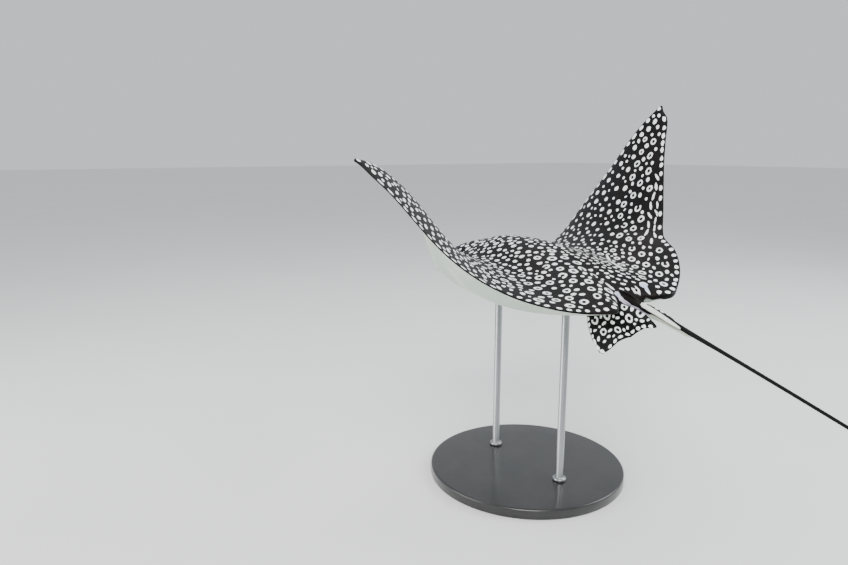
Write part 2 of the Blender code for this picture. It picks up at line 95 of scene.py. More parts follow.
def pose(a, b, c):
    """World places of flat points: each wing follows a running sum of steps at its dihedral angle and
    each chord turns by its twist and curls by the square of the way behind the twist line; behind the
    root the tail follows a running sum at its droop and turn, and the whole is then rolled."""
    out = abs(a)
    line = np.linspace(0.0, 0.5, 501)
    across, up, lean, twist, curl = (np.empty_like(a) for _ in range(5))
    for side, mask in ((1, a >= 0), (-1, a < 0)):
        angle = np.radians(through(line, DIHEDRAL_AT, DIHEDRAL[side]))
        middle = (angle[1:] + angle[:-1]) / 2
        run = np.concatenate([[0.0], np.cumsum(np.cos(middle) * line[1])])
        rise = np.concatenate([[0.0], np.cumsum(np.sin(middle) * line[1])])
        across[mask] = np.interp(out[mask], line, run)
        up[mask] = np.interp(out[mask], line, rise)
        lean[mask] = np.interp(out[mask], line, angle)
        twist[mask] = np.radians(through(out[mask], TWIST_AT, TWIST[side]))
        curl[mask] = through(out[mask], CURL_AT, CURL[side])
    pivot = TWIST_LINE[0] + TWIST_LINE[1] * out
    behind = b - pivot
    lift = c + CURL_GAIN * curl * np.clip(behind, 0.0, None) ** 2 + behind * np.sin(twist)
    back = pivot + behind * np.cos(twist)
    across = np.where(a >= 0, 1.0, -1.0) * (across - np.sin(lean) * lift)
    height = up + np.cos(lean) * lift

    distance = np.linspace(0.0, TAIL_LENGTH, 1201)
    droop = np.radians(through(distance, TAIL_AT, TAIL_DROOP))
    turn = np.radians(through(distance, TAIL_AT, TAIL_TURN))
    heading = np.stack([np.sin(turn) * np.cos(droop), np.cos(turn) * np.cos(droop), -np.sin(droop)])
    middle = (heading[:, 1:] + heading[:, :-1]) / 2 * distance[1]
    axis = np.concatenate([np.zeros((3, 1)), np.cumsum(middle, axis=1)], axis=1)
    tail = np.clip(b - TAIL_ROOT, 0.0, TAIL_LENGTH) * np.clip((TAIL_REACH - out) / TAIL_FADE, 0.0, 1.0)
    at = [np.interp(tail, distance, axis[k]) for k in range(3)]
    droop = np.interp(tail, distance, droop)
    turn = np.interp(tail, distance, turn)
    x = across * np.cos(turn) - height * np.sin(droop) * np.sin(turn) + at[0]
    y = -(back - tail + at[1] - across * np.sin(turn) - height * np.sin(droop) * np.cos(turn)) + BALANCE
    z = height * np.cos(droop) + at[2]
    roll = np.array([math.cos(BODY_ROLL), math.sin(BODY_ROLL)])
    world = np.stack([x * roll[0] - z * roll[1], y, x * roll[1] + z * roll[0]], axis=-1) * DISC_WIDTH
    return world + (0.0, 0.0, BELLY_HEIGHT)


# ---------------------------------------------------------------- the skin's forms, flat
# Disc, head, tail and fins are each a closed surface.  They are joined into one skin, eased where
# they meet, and then given the folds, lids, spiracles, gill slits and mouth.
RIM = 0.0006
DISC_EDGE = 0.4985
EYE_AT = np.array([0.0655, 0.090, 0.014])
EYE_RADIUS = 0.0098
PELVIC_ROOT = (0.014, -0.004)
PELVIC_SPAN = 0.092
PELVIC_DROOP_AT = (0.0, 0.4, 1.0)
PELVIC_DROOP = {-1: (30.0, 55.0, 70.0), 1: (30.0, 40.0, 46.0)}
DORSAL_FRONT, DORSAL_REAR = 0.512, 0.574
DORSAL_FOOT, DORSAL_HEIGHT, DORSAL_LEAN = 0.008, 0.0095, 0.0055
MERGE_WITHIN = 1e-7
FORMS = ("disc", "head", "tail", "pelvic_left", "pelvic_right", "dorsal")


def leading_edge(a):
    """Front margin of the wing: gently convex, sweeping back into the tip."""
    shares = np.array([-0.02, 0.0, 0.115, 0.31, 0.59, 0.845, 0.963, 1.0])
    sweep = SNOUT_LENGTH + (TIP_BACK - SNOUT_LENGTH) * shares
    return through(abs(a), (0.0, 0.078, 0.16, 0.27, 0.38, 0.46, 0.49, 0.50), sweep)


def trailing_edge(a):
    """Rear margin: hollow behind the tip, then a round inner lobe beside the tail."""
    stations = (0.0, 0.04, 0.07, 0.10, 0.14, 0.175, 0.21, 0.27, 0.34, 0.42, 0.47, 0.49, 0.50)
    margin = (0.515, 0.560, 0.580, 0.570, 0.554, 0.530, 0.484, 0.455, 0.424, 0.389, 0.371,
              TIP_BACK + 0.008, TIP_BACK + 0.003)
    return through(abs(a), stations, margin)


def half_thickness(a, b):
    """Height of the back and depth of the belly: a wing section, with a ridge and a keel."""
    a = abs(a)
    front = leading_edge(a)
    chord = np.clip((b - front) / (trailing_edge(a) - front), 0.0, 1.0)
    section = 1.95 * np.sqrt(chord) * (1.0 - chord) ** 0.9 * (1.0 + 0.4 * chord)
    span = (0.0, 0.06, 0.10, 0.16, 0.24, 0.34, 0.44, 0.50)
    back = through(a, span, (0.055, 0.051, 0.044, 0.033, 0.021, 0.0116, 0.0055, 0.0020))
    belly = through(a, span, (0.035, 0.033, 0.0315, 0.0265, 0.0165, 0.0088, 0.0044, 0.0018))
    along = (0.05, 0.12, 0.20, 0.28, 0.36, 0.44, 0.50, 0.56)
    ridge = through(b, along, (0.0, 0.027, 0.032, 0.030, 0.025, 0.018, 0.012, 0.007))
    keel = through(b, along, (0.0, 0.012, 0.014, 0.012, 0.010, 0.008, 0.008, 0.006))
    middle = np.exp(-((a / 0.075) ** 2.4))
    return back * section + ridge * middle, belly * section + keel * middle


def closed_rings(rings):
    """Faces of a tube over rings of equal length, with a flat cap at each end."""
    count, size = rings.shape[:2]
    i, j = np.meshgrid(np.arange(count - 1), np.arange(size), indexing="ij")
    k = (j + 1) % size
    quads = np.stack([i * size + j, i * size + k, (i + 1) * size + k, (i + 1) * size + j], axis=-1)
    caps = [tuple(range(size)), tuple(range(count * size - 1, (count - 1) * size - 1, -1))]
    return quads.reshape(-1, 4).tolist() + caps


def closed_mesh(name, rings):
    """A closed mesh over the rings, its doubled points merged and its faces turned outwards."""
    mesh = bpy.data.meshes.new(name)
    mesh.from_pydata(rings.reshape(-1, 3), [], closed_rings(rings))
    work = bmesh.new()
    work.from_mesh(mesh)
    bmesh.ops.remove_doubles(work, verts=work.verts, dist=MERGE_WITHIN)
    bmesh.ops.recalc_face_normals(work, faces=work.faces)
    work.to_mesh(mesh)
    work.free()
    return mesh


def put(name, data):
    """An object of the given data, in the scene."""
    made = bpy.data.objects.new(name, data)
    bpy.context.scene.collection.objects.link(made)
    return made


def form(name, a, b, c):
    """A closed flat form as an object, its faces marked with the form's number."""
    mesh = closed_mesh(name, np.stack(np.broadcast_arrays(a, b, c), axis=-1))
    for other in FORMS:
        mesh.materials.append(bpy.data.materials.get(other) or bpy.data.materials.new(other))
    mesh.polygons.foreach_set("material_index", np.full(len(mesh.polygons), FORMS.index(name)))
    return put(name, mesh)


def spaced(count, bunching):
    """Shares from 0 to 1, evenly spaced and drawn towards both ends by the bunching."""
    even = np.linspace(0.0, 1.0, count)
    return even * (1 - bunching) + 0.5 * (1 - np.cos(even * math.pi)) * bunching


def disc_form():
    """Columns across the span; each ring runs back along the top and forward along the belly."""
    columns = np.linspace(-DISC_EDGE, DISC_EDGE, 331)[:, None]
    front, rear = leading_edge(columns), trailing_edge(columns)
    top_b = front + (rear - front) * spaced(126, 0.45)
    under_b = front + (rear - front) * spaced(46, 0.6)[::-1]
    top = half_thickness(columns, top_b)[0] + RIM
    under = -half_thickness(columns, under_b)[1] - RIM
    b = np.concatenate([top_b, under_b], axis=1)
    c = np.concatenate([top, under], axis=1)
    return form("disc", columns, b, c)


def ring_points(count, squareness):
    """A circle whose sine and cosine are raised to a power below one, which squares it off."""
    turn = np.linspace(0.0, 2 * math.pi, count, endpoint=False)
    across, up = np.cos(turn), np.sin(turn)
    return np.sign(across) * abs(across) ** squareness, np.sign(up) * abs(up) ** squareness


HEAD_AT = (0.0, 0.004, 0.012, 0.028, 0.045, 0.060, 0.078, 0.095, 0.115, 0.150, 0.200, 0.250)
HEAD_WIDTH = (0.006, 0.019, 0.031, 0.044, 0.052, 0.058, 0.066, 0.0715, 0.074, 0.070, 0.058, 0.036)
HEAD_TOP = (-0.010, -0.004, 0.000, 0.005, 0.014, 0.028, 0.041, 0.049, 0.056, 0.064, 0.066, 0.050)
HEAD_UNDER = (-0.016, -0.020, -0.023, -0.026, -0.028, -0.030, -0.034, -0.038, -0.041, -0.042, -0.036,
              -0.024)


def head_form():
    """Duck-billed snout, steep forehead and broad cranium, running back inside the trunk."""
    b = (0.0006 + 0.2494 * np.linspace(0.0, 1.0, 110) ** 1.35)[:, None]
    across, up = ring_points(100, 0.80)
    top, under = through(b, HEAD_AT, HEAD_TOP), through(b, HEAD_AT, HEAD_UNDER)
    a = through(b, HEAD_AT, HEAD_WIDTH) * across
    return form("head", a, b, (top + under) / 2 + (top - under) / 2 * up)


TAIL_GIRTH_AT = (0.42, 0.48, 0.52, 0.56, 0.60, 0.66, 0.75, 0.95, 1.25, 1.65, 2.115)
TAIL_WIDTH = (0.026, 0.025, 0.0195, 0.0130, 0.0088, 0.0050, 0.0034, 0.0028, 0.0024, 0.0018, 0.0010)
TAIL_HEIGHT = (0.016, 0.017, 0.0150, 0.0112, 0.0080, 0.0049, 0.0034, 0.0028, 0.0024, 0.0018, 0.0010)


def tail_form():
    """Tail from inside the trunk to its tip, flattened at the root and whip-thin behind the stings."""
    root = np.linspace(0.42, 0.70, 61)[:-1]
    b = np.concatenate([root, np.linspace(0.70, TAIL_ROOT + TAIL_LENGTH, 210)])[:, None]
    across, up = ring_points(16, 1.0)
    return form("tail", through(b, TAIL_GIRTH_AT, TAIL_WIDTH) * across, b,
                through(b, TAIL_GIRTH_AT, TAIL_HEIGHT) * up)


def fin_front(share):
    """Front margin of the pelvic fin, by the share of its span."""
    return through(share, (0.0, 0.2, 0.45, 0.75, 0.90, 1.0), (0.463, 0.476, 0.491, 0.514, 0.530, 0.544))


def fin_rear(share):
    """Rear margin of the pelvic fin, by the share of its span."""
    return through(share, (0.0, 0.10, 0.25, 0.60, 0.90, 1.0), (0.600, 0.622, 0.603, 0.579, 0.561, 0.551))


def pelvic_form(side):
    """Paddle beside the tail's root, its span curving down by the droop angle."""
    out, along = spaced(46, 0.0)[:, None], spaced(52, 0.6)
    front, rear = fin_front(out), fin_rear(out)
    b = front + (rear - front) * along
    droop = np.radians(through(out, PELVIC_DROOP_AT, PELVIC_DROOP[side]))
    step = PELVIC_SPAN / (len(out) - 1)
    run = np.concatenate([[[0.0]], np.cumsum(np.cos(droop[1:]) * step, axis=0)])
    fall = np.concatenate([[[0.0]], np.cumsum(np.sin(droop[1:]) * step, axis=0)])
    thick = 0.0065 * (1 - out) ** 0.8 * np.sqrt(np.clip(along * (1 - along) * 4, 0, 1)) + RIM
    a = PELVIC_ROOT[0] + run
    c = PELVIC_ROOT[1] - fall
    over = np.sin(droop) * thick, np.cos(droop) * thick
    rings_a = np.concatenate([a + over[0], (a - over[0])[:, ::-1]], axis=1)
    rings_b = np.concatenate([b, b[:, ::-1]], axis=1)
    rings_c = np.concatenate([c + over[1], (c - over[1])[:, ::-1]], axis=1)
    return form("pelvic_right" if side > 0 else "pelvic_left", side * rings_a, rings_b, rings_c)


def dorsal_form():
    """Low fin on the tail's root, just ahead of the stings, leaning to the left."""
    up, along = spaced(24, 0.3)[:, None], spaced(40, 0.6)
    front = DORSAL_FRONT + 0.022 * up**1.3
    rear = DORSAL_REAR - 0.020 * up
    b = front + (rear - front) * along
    c = DORSAL_FOOT + DORSAL_HEIGHT * up
    thick = 0.0036 * (1 - up) * np.sqrt(np.clip(along * (1 - along) * 4, 0, 1)) + RIM
    return form("dorsal", np.concatenate([thick, -thick[:, ::-1]], axis=1) - DORSAL_LEAN * up,
                np.concatenate([b, b[:, ::-1]], axis=1), np.broadcast_to(c, (len(c), 2 * b.shape[1])))


def join_forms():
    """Union of the forms, its faces still marked, and the corners that the union itself made."""
    whole = disc_form()
    others = [head_form(), tail_form(), pelvic_form(-1), pelvic_form(1), dorsal_form()]
    known = set()
    for piece in [whole] + others:
        known.update(map(tuple, np.round(positions(piece.data), 6).tolist()))
    for other in others:
        union = whole.modifiers.new(other.name, "BOOLEAN")
        union.operation = "UNION"
        union.object = other
        union.solver = "EXACT"
    bpy.context.view_layer.update()
    made = bpy.data.meshes.new_from_object(whole.evaluated_get(bpy.context.evaluated_depsgraph_get()))
    for piece in [whole] + others:
        bpy.data.objects.remove(piece)
    seam = np.array([tuple(p) not in known for p in np.round(positions(made), 6).tolist()])
    return made, seam


def positions(mesh):
    """Places of a mesh's points, one row each."""
    flat = np.empty(len(mesh.vertices) * 3)
    mesh.vertices.foreach_get("co", flat)
    return flat.reshape(-1, 3)


def edges_of(mesh):
    """The two points of each edge."""
    ends = np.empty(len(mesh.edges) * 2, np.int32)
    mesh.edges.foreach_get("vertices", ends)
    return ends.reshape(-1, 2)


def spread(weight, edges, rounds, keep):
    """Each point takes the greatest weight next to it, times keep, some rounds over."""
    for _ in range(rounds):
        grown = weight.copy()
        np.maximum.at(grown, edges[:, 0], weight[edges[:, 1]] * keep)
        np.maximum.at(grown, edges[:, 1], weight[edges[:, 0]] * keep)
        weight = grown
    return weight


def eased(points, edges, weight, rounds):
    """Each point moves towards the mean of its neighbours by its weight, some rounds over."""
    count = np.maximum(np.bincount(edges.ravel(), minlength=len(points)), 1)[:, None]
    for _ in range(rounds):
        total = np.zeros_like(points)
        for k in range(3):
            total[:, k] = np.bincount(edges[:, 0], points[edges[:, 1], k], len(points))
            total[:, k] += np.bincount(edges[:, 1], points[edges[:, 0], k], len(points))
        points = points + 0.5 * weight[:, None] * (total / count - points)
    return points


def smooth(low, high, value):
    """0 below low, 1 above high, and 3t^2 - 2t^3 between."""
    t = np.clip((value - low) / (high - low), 0.0, 1.0)
    return t * t * (3 - 2 * t)


MOUTH_AT = 0.0815
MOUTH_HALF_WIDTH = 0.0270
CURTAIN_HALF_WIDTH = 0.0200
SPIRACLE_AT = (0.127, 0.031)
GILLS_AT = np.linspace(0.158, 0.244, 5)
GILLS_OUT = np.linspace(0.0685, 0.050, 5)
ZONE_CUTS = ((1, 2, 2), (2, 2, 2), (3, 2, 2), (4, 5, 2))    # zone, cuts back, cuts across
GILL_HALF_LENGTH, GILL_DEPTH = 0.0120, 0.0034
LID_RADIUS, LID_RISE, SOCKET_DEPTH = 0.0088, 0.0028, 0.012
SPIRACLE_DEPTH, FOLD_DEPTH, SLIT_DEPTH = 0.011, 0.0026, 0.0046
CURTAIN_FRONT, CURTAIN_RISE = 0.0575, 0.0027
NOSTRIL_OUT, NOSTRIL_BACK, NOSTRIL_DEPTH = 0.0235, 0.0640, 0.0052


def hump(distance, width):
    """One at nought, falling away as exp of minus the square of distance over width."""
    return np.exp(-((distance / width) ** 2))


def detail_zone(points):
    """Number of the zone a point lies in, 1 to 4, for finer faces; 0 elsewhere."""
    out, b, c = abs(points[:, 0]), points[:, 1], points[:, 2]
    zone = np.zeros(len(points), int)
    zone[(out > 0.045) & (np.hypot(b - EYE_AT[1], c - EYE_AT[2]) < 0.021)] = 1
    zone[(out > 0.045) & (abs(b - SPIRACLE_AT[0]) < 0.022) & (abs(c - SPIRACLE_AT[1]) < 0.014)] = 2
    zone[(out < 0.036) & (b > 0.048) & (b < 0.090) & (c < -0.015)] = 3
    zone[(out > 0.032) & (out < 0.080) & (b > 0.140) & (b < 0.256) & (c < -0.012)] = 4
    return zone


def refine(mesh):
    """Finer faces round eyes, spiracles, mouth and gill slits: in each zone the edges that run back
    are cut first, and then those that run across."""
    for zone, cuts_back, cuts_across in ZONE_CUTS:
        for cuts, runs_back in ((cuts_back, True), (cuts_across, False)):
            points, edges = positions(mesh), edges_of(mesh)
            step = abs(points[edges[:, 1]] - points[edges[:, 0]])
            back = step[:, 1] > np.maximum(step[:, 0], step[:, 2])
            chosen = (detail_zone(points[edges].mean(axis=1)) == zone) & (back == runs_back)
            work = bmesh.new()
            work.from_mesh(mesh)
            work.edges.ensure_lookup_table()
            chosen = [work.edges[k] for k in np.flatnonzero(chosen)]
            bmesh.ops.subdivide_edges(work, edges=chosen, cuts=cuts, use_grid_fill=True)
            work.to_mesh(mesh)
            work.free()


def head_details(points):
    """Eye sockets and lids, spiracles, the fold under the eye, mouth, nasal curtain, nostrils and gill
    slits, each a push along `a` or `c` that fades with distance; and how deep in a hollow a point is."""
    a, b, c = points.T.copy()
    out, side = abs(a), np.where(a > 0, 1.0, -1.0)
    on_side = smooth(0.040, 0.050, out) * (1 - smooth(0.150, 0.160, b))
    ring = np.hypot(b - EYE_AT[1], c - EYE_AT[2])
    lid = LID_RISE * hump(ring - LID_RADIUS, 0.0050) * (ring > LID_RADIUS)
    lid = np.where(ring <= LID_RADIUS, LID_RISE, lid)
    socket = SOCKET_DEPTH * (1 - smooth(0.0064, 0.0079, ring))
    brow_back, brow_up = (b - EYE_AT[1] - 0.002) / 0.020, (c - EYE_AT[2] - 0.017) / 0.008
    brow = 0.0030 * np.exp(-(brow_back**2) - brow_up**2)
    slant = c - SPIRACLE_AT[1] + 0.18 * (b - SPIRACLE_AT[0])
    hole = np.hypot((b - SPIRACLE_AT[0]) / 0.0145, slant / 0.0068)
    spiracle = SPIRACLE_DEPTH * (1 - smooth(0.60, 1.0, hole))
    spiracle_rim = 0.0014 * hump(hole - 1.2, 0.28)
    fold_at = through(b, (0.015, 0.06, 0.12), (-0.006, -0.009, -0.014))
    fold = FOLD_DEPTH * hump(c - fold_at, 0.0028) * smooth(0.012, 0.03, b) * (1 - smooth(0.105, 0.118, b))
    fold = fold * smooth(0.018, 0.030, out)
    a = a + side * (on_side * (lid - socket + brow - spiracle + spiracle_rim) - fold)

    below = smooth(0.012, 0.020, -c)
    mouth = MOUTH_AT + 0.0020 * (out / MOUTH_HALF_WIDTH) ** 2
    within = 1 - smooth(MOUTH_HALF_WIDTH * 0.90, MOUTH_HALF_WIDTH, out)
    slit = hump(b - mouth, 0.0017) * within
    lip = hump(b - mouth - 0.0050, 0.0026) * (1 - smooth(0.7, 1.15, out / MOUTH_HALF_WIDTH))
    curtain_edge = mouth - 0.0002 - 0.0100 * hump(a, 0.0034) - 0.0040 * smooth(0.011, 0.021, out)
    beside = CURTAIN_HALF_WIDTH + 0.12 * (b - 0.065)
    rise = np.clip((b - CURTAIN_FRONT) / (curtain_edge - CURTAIN_FRONT), 0.0, 1.0) ** 0.8
    curtain = rise * (1 - smooth(curtain_edge - 0.0006, curtain_edge + 0.0008, b))
    curtain = curtain * (1 - smooth(beside - 0.0016, beside, out))
    groove = hump(out - beside - 0.0006, 0.0011) * smooth(0.062, 0.067, b)
    groove = groove * (1 - smooth(mouth, mouth + 0.001, b))
    nostril_back = b - NOSTRIL_BACK
    nostril = np.hypot((out - NOSTRIL_OUT - 0.6 * nostril_back) / 0.0044, nostril_back / 0.0034)
    nostril = 1 - smooth(0.40, 1.0, nostril)
    push = (SLIT_DEPTH * slit - 0.0013 * lip - CURTAIN_RISE * curtain + 0.0020 * groove
            + NOSTRIL_DEPTH * nostril)
    gill_hollow = np.zeros_like(a)
    for at, middle in zip(GILLS_AT, GILLS_OUT):
        share = (out - middle) / GILL_HALF_LENGTH
        line = b - (at + 0.0030 * share**2 - 0.0022 * share)
        reach = 1 - smooth(0.70, 1.10, abs(share))
        cut = hump(line, 0.0019) * reach
        gill_hollow = np.maximum(gill_hollow, cut)
        push = push + GILL_DEPTH * cut - 0.0014 * hump(line + 0.0052, 0.0036) * reach
    c = c + below * push
    in_spiracle = on_side * smooth(0.0, 0.5, 1 - hole)
    in_socket = on_side * (1 - smooth(0.0070, 0.0084, ring))
    hollow = np.maximum.reduce([in_spiracle, below * slit, below * nostril, 0.4 * below * groove,
                                0.8 * below * gill_hollow, in_socket])
    return np.stack([a, b, c], axis=-1), hollow


skin_mesh, seam = join_forms()
seam = seam.astype(float)
edges = edges_of(skin_mesh)
flat = positions(skin_mesh)
flat = eased(flat, edges, spread(seam, edges, 9, 0.86), 26)
skin_mesh.vertices.foreach_set("co", flat.ravel())
refine(skin_mesh)
flat = positions(skin_mesh)
edges = edges_of(skin_mesh)
head_zone = (1 - smooth(0.255, 0.27, flat[:, 1])) * (abs(flat[:, 0]) < 0.09)
flat = eased(flat, edges, head_zone, 3)
flat, hollow = head_details(flat)
flat = eased(flat, edges, head_zone * 0.5, 2)

# ---------------------------------------------------------------- where each face lies on the skin
# The markings are laid out on a plan of the hide, as if it were peeled and pressed flat: across the
# back from the midline, and back from the snout.  The pelvic fins have a plan of their own.
FIN_PLAN = 1.0
FIN_PLAN_ROOT = 0.02
MARGIN_WIDTH = 0.0040
DARK = 0.03    # tone well inside the dark hide
corner_vertex = np.empty(len(skin_mesh.loops), np.int32)
skin_mesh.loops.foreach_get("vertex_index", corner_vertex)
face_size = np.empty(len(skin_mesh.polygons), np.int32)
skin_mesh.polygons.foreach_get("loop_total", face_size)
face_form = np.empty(len(skin_mesh.polygons), np.int32)
skin_mesh.polygons.foreach_get("material_index", face_form)
corner_face = np.repeat(np.arange(len(face_size)), face_size)


def face_mean(values):
    """Mean over each face's corners."""
    total = np.stack([np.bincount(corner_face, column, len(face_size)) for column in values.T], -1)
    return total / face_size[:, None]


def of_form(*names):
    """Whether each face belongs to one of the named forms."""
    return np.isin(face_form, [FORMS.index(name) for name in names])


def points_of(faces):
    """Whether each point is a corner of one of the faces."""
    return np.bincount(corner_vertex, faces[corner_face], len(flat)) > 0


def face_normals(points):
    """Direction of each face in the flat frame, by Newell's sum over its corners."""
    ring = points[corner_vertex]
    first = np.concatenate([[0], np.cumsum(face_size)[:-1]])
    following = np.arange(len(ring)) + 1
    last = first + face_size - 1
    following[last] = first
    turn = np.cross(ring, ring[following])
    total = np.stack([np.bincount(corner_face, turn[:, k], len(face_size)) for k in range(3)], -1)
    return total / np.maximum(np.linalg.norm(total, axis=1, keepdims=True), 1e-12)


def hide_plan(points, forms, facing):
    """Across, back and tone of each corner: tone is above nought where the hide is dark, and gives the
    distance from the line between the dark back and the pale belly, in shares of the disc width."""
    a, b, c = points.T
    out = abs(a)
    across, back = a.copy(), b.copy()
    margin = np.minimum(b - leading_edge(a), trailing_edge(a) - b)
    tone = np.where(facing[:, 2] > 0, DARK, MARGIN_WIDTH - margin)
    head = forms == FORMS.index("head")
    ridge = through(b, HEAD_AT, HEAD_TOP)
    across = np.where(head, np.sign(a) * np.hypot(a, ridge - c), across)
    flank = through(b, (0.0, 0.03, 0.08, 0.125), (-0.012, -0.014, -0.018, -0.020))
    tone = np.where(head, c - flank, tone)
    tail = forms == FORMS.index("tail")
    tone = np.where(tail, c + 0.004 + 0.03 * smooth(0.545, 0.60, b), tone)
    for side, name in ((-1, "pelvic_left"), (1, "pelvic_right")):
        fin = forms == FORMS.index(name)
        share = np.linspace(0.0, 1.0, 101)
        droop = np.radians(through(share, PELVIC_DROOP_AT, PELVIC_DROOP[side]))
        run = PELVIC_ROOT[0] + np.cumsum(np.cos(droop)) * PELVIC_SPAN / 100
        fall = PELVIC_ROOT[1] - np.cumsum(np.sin(droop)) * PELVIC_SPAN / 100
        reach = np.interp(out[fin] - c[fin], run - fall, share)
        lean = np.interp(reach, share, droop)
        upward = facing[fin, 0] * side * np.sin(lean) + facing[fin, 2] * np.cos(lean) > -0.35
        across[fin] = side * (FIN_PLAN_ROOT + reach * PELVIC_SPAN)
        back[fin] = b[fin] + FIN_PLAN
        tone[fin] = np.where(upward, DARK, MARGIN_WIDTH * 0.8 - (1 - reach) * PELVIC_SPAN)
    tone = np.where(forms == FORMS.index("dorsal"), DARK, tone)
    return np.stack([across, back, np.clip(tone, -DARK, DARK)], axis=-1) * DISC_WIDTH


def blended(plan, zone):
    """The plan with one value for all corners of a point, eased along the skin, where the zone is one."""
    count = np.bincount(corner_vertex, minlength=len(flat))[:, None]
    total = np.stack([np.bincount(corner_vertex, plan[:, k], len(flat)) for k in range(3)], -1)
    shared = eased(total / count, edges, zone, 30)
    share = zone[corner_vertex][:, None]
    return plan * (1 - share) + shared[corner_vertex] * share


facing = face_normals(flat)
plan = hide_plan(flat[corner_vertex], face_form[corner_face], facing[corner_face])
out, b = abs(flat[:, 0]), flat[:, 1]
beside_head = smooth(0.046, 0.056, out) * (1 - smooth(0.088, 0.098, out))
beside_head *= smooth(0.106, 0.114, b) * (1 - smooth(0.175, 0.20, b))
plan = blended(plan, beside_head)
beside_tail = smooth(0.485, 0.500, b) * (1 - smooth(0.600, 0.615, b)) * (out < 0.032)
paddle = of_form("pelvic_left", "pelvic_right")
near_paddle, off_paddle = points_of(paddle), points_of(~paddle)
bare = spread((near_paddle & off_paddle).astype(float), edges, 2, 0.75)
plan = blended(plan, beside_tail * (spread(near_paddle.astype(float), edges, 4, 1.0) == 0))
face_plan = face_mean(plan)[:, :2] / DISC_WIDTH

# ---------------------------------------------------------------- rings, spots and bars
# White marks on a dark back: round spots in front, rings and broken rings among ovals towards the
# rear, a row inside every margin and small dots in the gaps.  Each mark is an ellipse: where it is,
# its long and short radius, its direction, its kind and the share of it that is hollow.
rng = np.random.default_rng(11)
laid = np.zeros((4000, 7))
laid_count = 0
SOLID, RING, BROKEN = 0, 1, 2
LEFT_LATTICE = -0.17    # outside this the left wing's marks lie in staggered rows


def fits(across, back, long, short, angle, gap, ring_gap):
    """Whether an ellipse clears all those laid, and clears rings by more."""
    there = laid[:laid_count]
    step_a, step_b = across - there[:, 0], back - there[:, 1]
    away = np.hypot(step_a, step_b) + 1e-9
    toward = np.arctan2(step_b, step_a)
    turned_by = toward - there[:, 4]
    theirs = 1 / np.hypot(np.cos(turned_by) / there[:, 2], np.sin(turned_by) / there[:, 3])
    mine = 1 / np.hypot(np.cos(toward - angle) / long, np.sin(toward - angle) / short)
    return bool(np.all(away - theirs - mine > np.where(there[:, 5] > 0, ring_gap, gap)))


def lay(across, back, long, short, angle, kind=SOLID, hollow_share=0.0):
    """Adds a mark to those laid."""
    global laid_count
    laid[laid_count] = across, back, long, short, angle, kind, hollow_share
    laid_count += 1


def throw(places, long, short, angle, gap, ring_gap, kind=SOLID, hollow_share=0.0):
    """Lays marks at the places in turn, keeping each that clears those laid before it."""
    columns = places[:, 0], places[:, 1], long, short, angle, gap, ring_gap, kind, hollow_share
    for row in np.stack(np.broadcast_arrays(*columns), axis=-1):
        if fits(*row[:7]):
            lay(*row[:5], *row[7:])


def chord_share(across, back):
    """How far back on its chord a place lies, from 0 at the front margin to 1 at the rear one."""
    out = abs(across)
    return (back - leading_edge(out)) / (trailing_edge(out) - leading_edge(out))


def grain(across, back):
    """Direction of marks: steeply across the wing in front, along the rear margin behind and at the tip."""
    out = abs(across)
    slope = (trailing_edge(out + 0.006) - trailing_edge(out - 0.006)) / 0.012
    rear = np.arctan(np.clip(slope, -1.0, 0.2))
    share = np.maximum(smooth(0.50, 0.88, chord_share(across, back)), smooth(0.40, 0.46, out))
    angle = -1.15 + share * (rear + 1.15)
    angle = np.where(across > 0, angle, math.pi - angle)
    far_left = across < LEFT_LATTICE
    scatter = rng.normal(0.0, 0.20, len(out)) * np.where(far_left, 0.5, 1)
    return np.where(far_left, -1.12, angle) + scatter


def over_disc(tries):
    """Random places on the back, clear of its margins, of the head and of the fin on the tail."""
    across, back = rng.uniform(-0.496, 0.496, tries), rng.uniform(0.13, 0.58, tries)
    clear = (back > leading_edge(across) + 0.010) & (back < trailing_edge(across) - 0.009)
    clear &= (abs(across) > 0.010) | (back < 0.500)
    clear &= (abs(across) < 0.062) | (back > 0.142)
    return np.stack([across, back], axis=-1)[clear]


def margin_row(side, edge, inset, step, long, short, start, stop):
    """Marks in a row inside a margin, their long way along it."""
    line = np.linspace(start, stop, 400)
    path = np.stack([side * line, edge(line)], axis=-1)
    along = np.gradient(path, axis=0)
    along /= np.linalg.norm(along, axis=1, keepdims=True)
    inward = np.stack([along[:, 1], -along[:, 0]], axis=-1)
    inward *= np.sign(((np.array([side * 0.12, 0.36]) - path) * inward).sum(axis=1))[:, None]
    path = path + inward * inset
    run = np.concatenate([[0.0], np.cumsum(np.linalg.norm(np.diff(path, axis=0), axis=1))])
    at = np.arange(step / 2, run[-1], step)
    at = np.searchsorted(run, at + rng.uniform(-0.14, 0.14, len(at)) * step).clip(0, 399)
    size = rng.uniform(0.82, 1.12, len(at))
    throw(path[at], long * size, short * rng.uniform(0.9, 1.1, len(at)),
          np.arctan2(along[at, 1], along[at, 0]), 0.0020, 0.0020)


